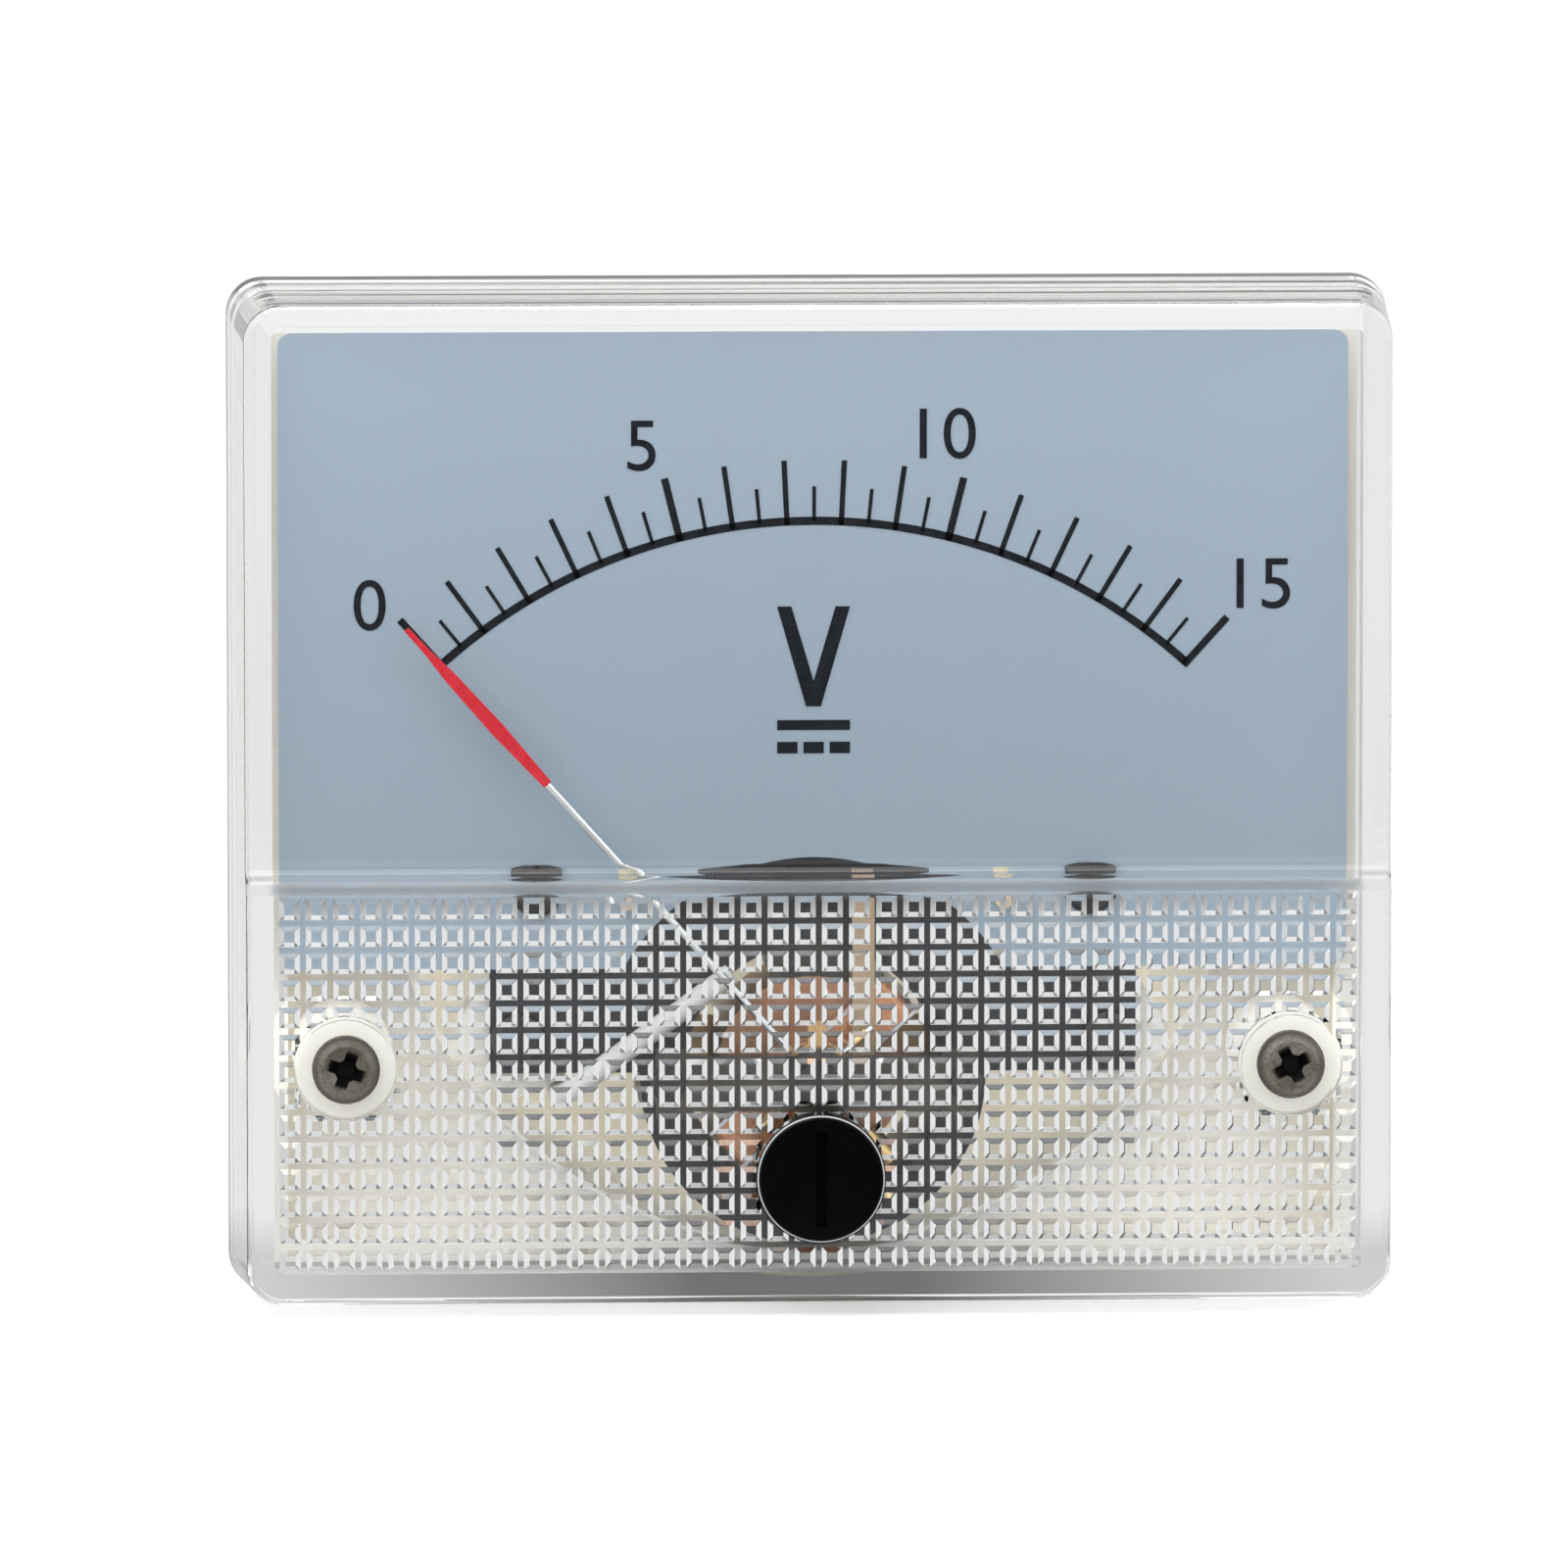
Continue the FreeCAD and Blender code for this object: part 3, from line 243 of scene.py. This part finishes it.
def metal(name, colour, rough, tarnish=None, grain_mm=0.12, depth_mm=0.002, bare=1.0):
    """Bare or plated metal: a rolled grain, uneven gloss and a little tarnish."""
    t = Finish(name)
    darker = tarnish or [c * 0.8 for c in colour]
    grain = t.noise(grain_mm, 4.0)
    cloud = t.noise(2.2, 4.0)
    t.set(
        Metallic=bare,
        Base_Color=t.mix(t.between(cloud, 0.0, 1.0, 0.42, 0.72), colour, darker),
        Roughness=t.math("MULTIPLY_ADD", grain, 0.25, rough - 0.1),
    )
    t.bump(grain, depth_mm)
    return t


def white_moulding():
    """Cream-white plastic, a little translucent. The barrel's inside and the screw posts shine with
    painted light, standing in for light that soaks through the barrel's wall and the screw posts.
    """
    t = moulded("white_plastic", (0.92, 0.88, 0.82), 0.38, 0.55, shade=0.95)
    t.shader.inputs["Subsurface Weight"].default_value = 0.7
    t.shader.inputs["Subsurface Radius"].default_value = (1.0, 0.9, 0.75)
    t.shader.inputs["Subsurface Scale"].default_value = 2.0 * MM
    radius, depth = t.from_axis(0.0, 0.0)
    within = t.math("LESS_THAN", radius, BARREL_BORE * MM)
    middle, half = (BASE_RIM + BARREL_FLOOR) / 2, (BARREL_FLOOR - BASE_RIM) / 2
    inside = t.math("MULTIPLY", within, t.math("COMPARE", depth, middle * MM, half * MM))
    from_screw, _ = t.from_axis(SCREW_X, SCREW_Z)
    near_screw = t.math("LESS_THAN", from_screw, POST_RADIUS * MM)
    post = t.math("MULTIPLY", near_screw, t.math("LESS_THAN", depth, BASE_RIM * MM))
    # Painted light: emission makes the barrel's inside and the screw posts shine, though they are no lamp
    painted_glow = t.math("MULTIPLY_ADD", inside, 0.2, t.math("MULTIPLY", post, 0.34))
    t.set(Emission_Color=(0.80, 0.78, 0.70), Emission_Strength=painted_glow)
    return t.material


def knob_gloss():
    """Glossy black, with a painted highlight: a pale ring on the knob's front edge."""
    black = (0.002, 0.0025, 0.003)
    t = moulded("black_gloss", black, 0.08, 0.16, 0.4, 0.002, 0.7, specular=0.12)
    radius, depth = t.from_axis(0.0, KNOB_Z)
    # Painted highlight: the front edge of the black knob is coloured pale grey
    outer = t.math("GREATER_THAN", radius, KNOB_EDGE_RADIUS * MM)
    edge = t.math("MULTIPLY", outer, t.math("LESS_THAN", depth, KNOB_EDGE_BACK * MM))
    t.set(Base_Color=t.mix(edge, black, (0.55, 0.56, 0.58)))
    return t.material


def screw_face():
    """Burnished cover screws: worn and pitted grey-brown face, with painted shade: a darker rim and black
    in the cross.
    """
    t = metal("brown_steel", (0.27, 0.25, 0.21), 0.42, (0.12, 0.10, 0.08), 0.2, 0.02, bare=0.5)
    radius, depth = t.from_axis(SCREW_X, SCREW_Z)
    # Painted shade: the rounded rim is darkened and the sunk cross is near black
    rim = t.between(radius, 0.0, 1.0, SCREW_RIM_START * MM, SCREW_RIM_END * MM)
    sunk = t.between(depth, 0.0, 1.0, SCREW_CROSS_FRONT * MM, SCREW_CROSS_BACK * MM)
    cross = t.math("MULTIPLY", t.math("LESS_THAN", radius, SCREW_CROSS_RADIUS * MM), sunk)
    pits = t.between(t.noise(0.14, 3.0, 0.7), 0.0, 0.6, 0.5, 0.62)
    pitted = t.mix(pits, t.colour(), (0.07, 0.06, 0.05))
    rim_shaded = t.mix(rim, pitted, (0.10, 0.09, 0.075))
    t.set(Base_Color=t.mix(cross, rim_shaded, (0.008, 0.007, 0.006)))
    return t.material


def clear_plastic():
    """Clear moulded plastic: a slight flow, mould lines along the top, matt at the step's edge.

    Lamps shine through it, because a shadow ray meets it as plain tinted transparency."""
    t = Finish("clear_plastic")
    place = t.split(t.place)
    at_step = t.math("COMPARE", place["Z"], STEP_EDGE_Z * MM, STEP_EDGE_HALF * MM)
    edge = t.math("MULTIPLY", at_step, t.math("LESS_THAN", place["Y"], STEP_FRONT * MM))
    t.set(
        Base_Color=(0.975, 0.985, 0.985),
        Roughness=t.math("MULTIPLY_ADD", edge, 0.55, t.between(t.noise(3.0, 4.0), 0.0, 0.03)),
        IOR=1.49,
        Transmission_Weight=1.0,
    )
    top = t.math("GREATER_THAN", place["Z"], COVER_TOP * MM)
    lines = t.math("MULTIPLY", top, t.noise(1.7, 1.0, stretch=(0.01, 1, 0.01)))
    t.bump(t.math("MULTIPLY_ADD", t.noise(7.0, 2.0), 0.02, lines), 0.08)
    through = t.add("ShaderNodeBsdfTransparent")
    t.feed(through.inputs["Color"], (0.90, 0.91, 0.91))
    shadow = t.add("ShaderNodeLightPath").outputs["Is Shadow Ray"]
    t.show(t.either(shadow, t.shader.outputs[0], through.outputs[0]))
    return t.material


def dial_face():
    """Aluminium sheet, sprayed blue-grey on its front face."""
    t = Finish("dial_face")
    normal = t.split(t.add("ShaderNodeNewGeometry").outputs["Normal"])
    front = t.math("LESS_THAN", normal["Y"], -0.9)
    # Painted light and shade: the paint is lighter towards the top of the dial and darker towards its
    # foot
    painted_light_to_top = t.between(t.split(t.place)["Z"], 0.0, 1.0, DIAL_FOOT * MM, DIAL_HEAD * MM)
    paint = t.mix(painted_light_to_top, (0.355, 0.438, 0.523), (0.422, 0.513, 0.619))
    speck = t.between(t.noise(0.35, 4.0), 0.94, 1.04)
    speckled = t.mix(speck, (0.29, 0.36, 0.43), paint)
    t.set(
        Base_Color=t.mix(front, (0.76, 0.77, 0.78), speckled),
        Metallic=t.math("SUBTRACT", 1.0, front),
        Roughness=t.math("MULTIPLY_ADD", t.noise(0.4), 0.2, 0.42),
    )
    t.bump(t.noise(0.12, 2.0), 0.004)
    return t.material


def winding():
    """Enamelled copper wire laid in turns round the former."""
    t = Finish("copper")
    turns = t.add("ShaderNodeTexWave", wave_type="BANDS", bands_direction="Y")
    t.feed(turns.inputs["Vector"], t.place)
    wire = 0.12 * MM
    turns.inputs["Scale"].default_value = 0.5 / wire
    turns.inputs["Distortion"].default_value = 0.4
    lie = t.between(t.noise(0.5), 0.0, 1.0)
    t.set(
        Metallic=0.85,
        Base_Color=t.mix(lie, (0.60, 0.25, 0.12), (0.78, 0.40, 0.23)),
        Roughness=t.between(t.noise(0.3), 0.22, 0.4),
        Coat_Weight=0.5,
    )
    t.bump(turns.outputs["Fac"], 0.03)
    return t.material


def ink():
    """Screen-printed black ink, slightly uneven."""
    t = Finish("ink")
    uneven = t.between(t.noise(0.5, 4.0), 0.0, 1.0)
    t.set(
        Base_Color=t.mix(uneven, (0.006, 0.008, 0.012), (0.016, 0.018, 0.024)),
        Roughness=t.between(t.noise(0.3), 0.5, 0.65),
        Specular_IOR_Level=0.15,
    )
    t.bump(t.noise(0.1), 0.003)
    return t.material


def red_lacquer():
    """Red lacquer on the thin blade."""
    t = Finish("red_lacquer")
    uneven = t.between(t.noise(0.5, 4.0), 0.0, 1.0)
    t.set(
        Base_Color=t.mix(uneven, (0.72, 0.010, 0.022), (0.86, 0.022, 0.045)),
        Roughness=t.between(t.noise(0.4), 0.25, 0.4),
        Coat_Weight=0.3,
    )
    t.bump(t.noise(0.15), 0.004)
    return t.material


def ruby():
    """The jewels that the pivots turn in."""
    t = Finish("ruby")
    t.set(
        Base_Color=t.mix(t.between(t.noise(0.3), 0.0, 1.0), (0.45, 0.01, 0.05), (0.62, 0.03, 0.10)),
        Roughness=t.between(t.noise(0.2), 0.04, 0.1),
        Coat_Weight=1.0,
    )
    return t.material


def resistor_body():
    """Blue-grey resistor lacquer with five colour bands."""
    t = Finish("resistor_body")
    along = t.split(t.place)["X"]
    colour = t.mix(t.between(t.noise(0.6), 0.0, 1.0), (0.28, 0.48, 0.60), (0.34, 0.56, 0.68))
    brown, black, red = (0.18, 0.07, 0.02), (0.01, 0.01, 0.01), (0.65, 0.03, 0.02)
    for place, band in ((-2.2, brown), (-1.2, black), (-0.2, black), (0.8, red), (2.2, brown)):
        colour = t.mix(t.math("COMPARE", along, place * MM, 0.28 * MM), colour, band)
    t.set(Base_Color=colour, Roughness=t.between(t.noise(0.5), 0.2, 0.35))
    t.bump(t.noise(0.3), 0.01)
    return t.material


# Plain metals: colour, roughness and tarnish
METALS = {
    "black_lacquer": ((0.05, 0.05, 0.055), 0.4, None),
    "dark_iron": ((0.11, 0.105, 0.105), 0.45, (0.05, 0.045, 0.045)),
    "magnet": ((0.54, 0.29, 0.18), 0.35, (0.32, 0.17, 0.11)),
    "brass": ((0.80, 0.58, 0.27), 0.3, None),
    "blackened_brass": ((0.10, 0.09, 0.08), 0.4, (0.05, 0.045, 0.04)),
    "bronze": ((0.72, 0.45, 0.22), 0.25, None),
    "aluminium": ((0.82, 0.83, 0.85), 0.3, None),
    "silver_wire": ((0.88, 0.89, 0.90), 0.2, None),
    "steel": ((0.66, 0.66, 0.67), 0.3, None),
    "zinc_steel": ((0.58, 0.60, 0.65), 0.3, None),
    "nickel": ((0.60, 0.56, 0.50), 0.26, None),
    "tinned": ((0.66, 0.66, 0.65), 0.35, None),
    "black_oxide": ((0.07, 0.068, 0.066), 0.4, (0.04, 0.038, 0.036)),
}
# Plain mouldings: colour, lowest and highest roughness, size and depth of the grain
MOULDINGS = {
    "beige_fibre": ((0.50, 0.37, 0.25), 0.5, 0.7, 0.15, 0.01),
    "beige_sleeve": ((0.84, 0.72, 0.46), 0.3, 0.45, 0.15, 0.006),
    "white_sleeve": ((0.86, 0.86, 0.84), 0.3, 0.45, 0.2, 0.006),
}
BLACK_SCREWS = ("movement_screw", "front_bridge_screw", "dial_screw", "front_jewel_screw")


def finishes():
    """One material for each slot of the record, and black oxide for the screws beside the movement."""
    made = {
        "clear_plastic": clear_plastic(),
        "white_plastic": white_moulding(),
        "dial_face": dial_face(),
        "copper": winding(),
        "ruby": ruby(),
        "red_lacquer": red_lacquer(),
        "black_gloss": knob_gloss(),
        "brown_steel": screw_face(),
        "resistor_body": resistor_body(),
    }
    for name, values in METALS.items():
        made[name] = metal(name, *values).material
    for name, values in MOULDINGS.items():
        made[name] = moulded(name, *values).material
    return made


def dress(materials):
    """Gives every CAD node its slot's material."""
    for row in frame["record"]["subparts"]:
        name = row["node"]
        slot = "black_oxide" if name.startswith(BLACK_SCREWS) else row["material_slot"]
        cad[name].data.materials.clear()
        cad[name].data.materials.append(materials[slot])


# Pieces that scene.py adds
def join_rings(shape, rings):
    """A wall of four-sided faces from ring to ring."""
    for low, high in zip(rings, rings[1:]):
        for i in range(len(low)):
            k = (i + 1) % len(low)
            shape.faces.new((low[i], high[i], high[k], low[k]))


def as_mesh(shape, name, material):
    bmesh.ops.recalc_face_normals(shape, faces=shape.faces)
    mesh = bpy.data.meshes.new(name)
    shape.to_mesh(mesh)
    shape.free()
    mesh.materials.append(material)
    return mesh


def add_piece(name, mesh):
    """A piece fixed to the housing."""
    piece = bpy.data.objects.new(name, mesh)
    bpy.context.scene.collection.objects.link(piece)
    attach(piece, "housing")
    return piece


# Printing on the dial, in millimetres
DIAL_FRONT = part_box("dial_plate")[0].y
INK_MM = 0.03
SCALE_RADIUS = 30.5
SCALE_LINE = 0.45
SCALE_START = -42.0
SCALE_STEP = 5.607
SCALE_UNITS = 15
ARC_PIECES = 90
LONG_TICK = 3.35
SHORT_TICK = 1.9
FIVES_WIDTH = 0.4
UNITS_WIDTH = 0.29
HALVES_WIDTH = 0.2
NUMBER_SIZE = 4.0
NUMBERS = (("0", -24.3, 12.3), ("5", -9.4, 21.0), ("10", 7.0, 21.6), ("15", 24.4, 13.3))


def on_dial(radius, degrees):
    a = math.radians(degrees)
    return radius * math.sin(a), PIVOT_Z + radius * math.cos(a)


def printed(name, shapes, material):
    """A thin layer of ink on the dial, from closed outlines of (x, z) points."""
    layer = bmesh.new()
    for outline in shapes:
        front = [layer.verts.new((x * MM, DIAL_FRONT - INK_MM * MM, z * MM)) for x, z in outline]
        back = [layer.verts.new((x * MM, DIAL_FRONT, z * MM)) for x, z in outline]
        layer.faces.new(front)
        join_rings(layer, [front, back])
    piece = add_piece(name, as_mesh(layer, name, material))


def tick(degrees, inner, outer, width):
    """A radial stroke of the scale."""
    a = math.radians(degrees)
    dx, dz = math.cos(a) * width / 2, -math.sin(a) * width / 2
    x0, z0 = on_dial(inner, degrees)
    x1, z1 = on_dial(outer, degrees)
    return [(x0 - dx, z0 - dz), (x1 - dx, z1 - dz), (x1 + dx, z1 + dz), (x0 + dx, z0 + dz)]


def scale_shapes():
    """The arc, then a stroke for every unit and a short one for every half."""
    inner, outer = SCALE_RADIUS - SCALE_LINE / 2, SCALE_RADIUS + SCALE_LINE / 2
    sweep = SCALE_UNITS * SCALE_STEP
    shapes = []
    for i in range(ARC_PIECES):
        a = SCALE_START + sweep * i / ARC_PIECES
        b = SCALE_START + sweep * (i + 1) / ARC_PIECES
        shapes.append([on_dial(inner, a), on_dial(outer, a), on_dial(outer, b), on_dial(inner, b)])
    for i in range(SCALE_UNITS + 1):
        width = FIVES_WIDTH if i % 5 == 0 else UNITS_WIDTH
        shapes.append(tick(SCALE_START + i * SCALE_STEP, inner, SCALE_RADIUS + LONG_TICK, width))
    for i in range(SCALE_UNITS):
        a = SCALE_START + (i + 0.5) * SCALE_STEP
        shapes.append(tick(a, SCALE_RADIUS, SCALE_RADIUS + SHORT_TICK, HALVES_WIDTH))
    return shapes


def sign_shapes():
    """The V, with the straight and the dashed bar of direct current under it."""
    letter = [(-2.0, 12.3), (-1.22, 12.3), (0.0, 8.2), (1.2, 12.3), (2.0, 12.3), (0.4, 6.8), (-0.42, 6.8)]
    left = [letter[0], letter[1], letter[2], letter[6]]
    right = [letter[2], letter[3], letter[4], letter[5]]
    foot = [letter[6], letter[2], letter[5]]
    bar = [(-2.0, 6.05), (2.0, 6.05), (2.0, 5.5), (-2.0, 5.5)]
    dashes = []
    for x in (-2.0, -0.56, 0.88):
        dashes.append([(x, 4.85), (x + 1.12, 4.85), (x + 1.12, 4.22), (x, 4.22)])
    return [left, right, foot, bar, *dashes]


def number(name, text, x, z, material):
    """A plain number of the scale, centred on (x, z)."""
    data = bpy.data.curves.new(name, "FONT")
    data.body = text
    data.size = NUMBER_SIZE * MM
    data.align_x = "CENTER"
    data.align_y = "CENTER"
    data.extrude = INK_MM / 2 * MM
    data.materials.append(material)
    letters = bpy.data.objects.new(name, data)
    letters.rotation_euler = (math.radians(90), 0, 0)
    letters.location = (x * MM, DIAL_FRONT - INK_MM / 2 * MM, z * MM)
    bpy.context.scene.collection.objects.link(letters)
    bpy.context.view_layer.update()
    shape = bpy.data.meshes.new_from_object(letters.evaluated_get(bpy.context.evaluated_depsgraph_get()))
    shape.transform(letters.matrix_world)
    bpy.data.objects.remove(letters)
    piece = add_piece(name, shape)


def print_dial():
    black = ink()
    printed("scale_print", scale_shapes(), black)
    printed("unit_print", sign_shapes(), black)
    for text, x, z in NUMBERS:
        number("number_" + text, text, x, z, black)


# Threads: each plain CAD stud is shown with its real thread
TURN_POINTS = 24
PITCH_ROWS = 8


def threaded_stud(node, plain, crest, pitch, chamfer, materials, slot):
    """Plain corners of (y, radius) in millimetres, then a screw thread up to the node's free end."""
    low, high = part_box(node)
    x, z = (low.x + high.x) / 2, (low.z + high.z) / 2
    start, end = plain[-1][0], high.y / MM
    depth = 0.54 * pitch
    rows = int((end - start) / pitch * PITCH_ROWS)
    radii = [(y, [r] * TURN_POINTS) for y, r in plain]
    for j in range(rows + 1):
        y = start + (end - start) * j / rows
        limit = crest - max(0.0, chamfer - (end - y))
        valleys = [abs(2 * ((y / pitch + i / TURN_POINTS) % 1.0) - 1) for i in range(TURN_POINTS)]
        radii.append((y, [min(crest - depth * v, limit) for v in valleys]))
    turn = [2 * math.pi * i / TURN_POINTS for i in range(TURN_POINTS)]
    rod = bmesh.new()
    rings = []
    for y, ring in radii:
        spots = [(x + r * MM * math.cos(a), y * MM, z + r * MM * math.sin(a)) for r, a in zip(ring, turn)]
        rings.append([rod.verts.new(spot) for spot in spots])
    join_rings(rod, rings)
    rod.faces.new(rings[0])
    rod.faces.new(rings[-1][::-1])
    name = node + "_thread"
    piece = add_piece(name, as_mesh(rod, name, materials[slot]))
    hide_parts(node)


def thread_studs(materials):
    """Two studs that hold the meter to its panel, and the two terminals."""
    anchor, foot = -5.0, 0.4
    mount = ((anchor, 1.8), (0.0, 1.8), (0.0, 1.5), (foot, 1.5))
    head, seat, neck, free = 24.4, 26.2, 33.2, 33.7
    terminal = ((head, 3.2), (seat, 3.2), (seat, 1.8), (neck, 1.8), (free, 1.8))
    for side in ("_left", "_right"):
        threaded_stud("mounting_stud" + side, mount, 1.5, 0.5, 0.4, materials, "zinc_steel")
        threaded_stud("terminal_stud" + side, terminal, 2.0, 0.7, 0.5, materials, "nickel")


# Rear: raised plus and minus marks, moulded on the barrel's back under each terminal
MARK_Z = -8.2
MARK_REACH = 1.6
MARK_HALF = 0.36
MARK_RINGS = ((-0.1, 0.0), (0.22, 0.0), (0.32, 0.1))


def cross_outline(reach, half, arms):
    """A bar along x, or with arms a cross, as corners in millimetres."""
    if not arms:
        return [(-reach, -half), (reach, -half), (reach, half), (-reach, half)]
    outline = []
    for turns in range(4):
        for x, z in ((half, half), (half, reach), (-half, reach)):
            for _ in range(turns):
                x, z = -z, x
            outline.append((x, z))
    return outline


def raised_sign(name, arms, x, material):
    """A mark with chamfered edges, its foot sunk a little into the barrel's back."""
    sign = bmesh.new()
    rings = []
    for rise, trim in MARK_RINGS:
        outline = cross_outline(MARK_REACH - trim, MARK_HALF - trim, arms)
        y = (BARREL_BACK + rise) * MM
        rings.append([sign.verts.new(((x + dx) * MM, y, (MARK_Z + dz) * MM)) for dx, dz in outline])
    join_rings(sign, rings)
    sign.faces.new(rings[0])
    sign.faces.new(rings[-1])
    piece = add_piece(name, as_mesh(sign, name, material))


def mark_terminals(materials):
    marks = (("plus_mark", True, "terminal_stud_right"), ("minus_mark", False, "terminal_stud_left"))
    for name, arms, node in marks:
        low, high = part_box(node)
        raised_sign(name, arms, (low.x + high.x) / 2 / MM, materials["white_plastic"])


# Stage: pale floor, white surroundings and soft lamps
def make_floor():
    """White for the camera and pale for plain light.

    Gloss meets it as white too, but dim under the meter, where a shadow is painted, and dark in front,
    where the meter mirrors it."""
    t = Finish("floor")
    seen = t.add("ShaderNodeLightPath").outputs
    place = t.split(t.place)
    square = t.math("MULTIPLY_ADD", place["X"], place["X"], t.math("MULTIPLY", place["Y"], place["Y"]))
    whiter_far = t.between(t.math("SQRT", square), 0.35, 1.0, 0.5, 2.0)
    t.set(
        Base_Color=(0.85, 0.85, 0.85),
        Roughness=0.9,
        Emission_Color=(1.0, 1.0, 1.0),
        Emission_Strength=t.math("MULTIPLY", seen["Is Camera Ray"], whiter_far),
    )
    # Painted shadow: gloss and glass see the floor dimmed under the meter, most in the middle
    beneath = t.between(t.apart(place["Y"], 5 * MM), 1.0, 0.0, 12 * MM, 30 * MM)
    painted_shadow_depth = t.between(t.math("ABSOLUTE", place["X"]), 0.86, 0.28, 6 * MM, 30 * MM)
    under = t.math("SUBTRACT", 1.0, t.math("MULTIPLY", beneath, painted_shadow_depth))
    in_front = t.between(place["Y"], 1.0, 0.0, -60 * MM, -20 * MM)
    far_front = t.between(place["Y"], 1.0, 0.0, -235 * MM, -205 * MM)
    middle = t.between(t.apart(place["X"], 35 * MM), 1.0, 0.0, 75 * MM, 110 * MM)
    inside = seen["Is Transmission Ray"]
    dark = t.pick(inside, in_front, t.math("MULTIPLY", far_front, middle))
    card = t.math("MULTIPLY_ADD", dark, -0.95, 1.0)
    mirrored = t.add("ShaderNodeEmission")
    t.feed(mirrored.inputs["Strength"], t.math("MULTIPLY", t.math("MULTIPLY", under, card), 0.85))
    t.show(t.either(seen["Is Glossy Ray"], t.shader.outputs[0], mirrored.outputs[0]))
    mesh = bpy.data.meshes.new("floor")
    half = 3.0
    z = cad_box[0][2]
    corners = [(-half, -half, z), (half, -half, z), (half, half, z), (-half, half, z)]
    mesh.from_pydata(corners, [], [(0, 1, 2, 3)])
    mesh.materials.append(t.material)
    floor = bpy.data.objects.new("floor", mesh)
    bpy.context.scene.collection.objects.link(floor)


def make_world():
    """White for the camera. Gloss meets a dim room in front, and a grey rail low down all round.

    Glass meets a bright room with a dimmer ceiling."""
    world = bpy.data.worlds.new("world")
    world.use_nodes = True
    bpy.context.scene.world = world
    t = Nodes(world.node_tree)
    seen = t.add("ShaderNodeLightPath").outputs
    direction = t.split(t.add("ShaderNodeTexCoord").outputs["Generated"])
    depth = t.between(direction["Y"], 0.12, 0.95, -0.85, -0.2)
    below = t.between(direction["Z"], 1.0, 0.58, 0.06, 0.13)
    above = t.between(direction["Z"], 1.0, 0.58, 0.30, 0.24)
    room = t.math("MULTIPLY", depth, t.math("MAXIMUM", below, above))
    ceiling = t.between(direction["Z"], 0.93, 0.45, 0.7, 0.92)
    strength = t.pick(seen["Is Glossy Ray"], 0.5, room)
    strength = t.pick(seen["Is Transmission Ray"], strength, ceiling)
    strength = t.pick(seen["Is Camera Ray"], strength, 1.0)
    background = world.node_tree.nodes["Background"]
    t.feed(background.inputs["Color"], (1, 1, 1))
    t.feed(background.inputs["Strength"], strength)


def lamp(name, place, size, power):
    """A soft round lamp, aimed at the meter."""
    data = bpy.data.lights.new(name, "AREA")
    data.shape = "DISK"
    data.size = size
    data.energy = power
    light = bpy.data.objects.new(name, data)
    light.location = place
    light.rotation_mode = "QUATERNION"
    light.rotation_quaternion = (-Vector(place)).to_track_quat("-Z", "Y")
    bpy.context.scene.collection.objects.link(light)


def make_light():
    lamp("key", (-0.45, -0.75, 0.95), 1.6, 12.5)
    lamp("fill", (0.9, -0.7, 0.35), 1.4, 4.0)
    lamp("back", (0.2, 0.9, 0.8), 0.6, 3.0)


make_camera()
make_world()
make_light()
make_floor()
materials = finishes()
dress(materials)
print_dial()
thread_studs(materials)
mark_terminals(materials)
bpy.context.scene.view_settings.view_transform = "Standard"
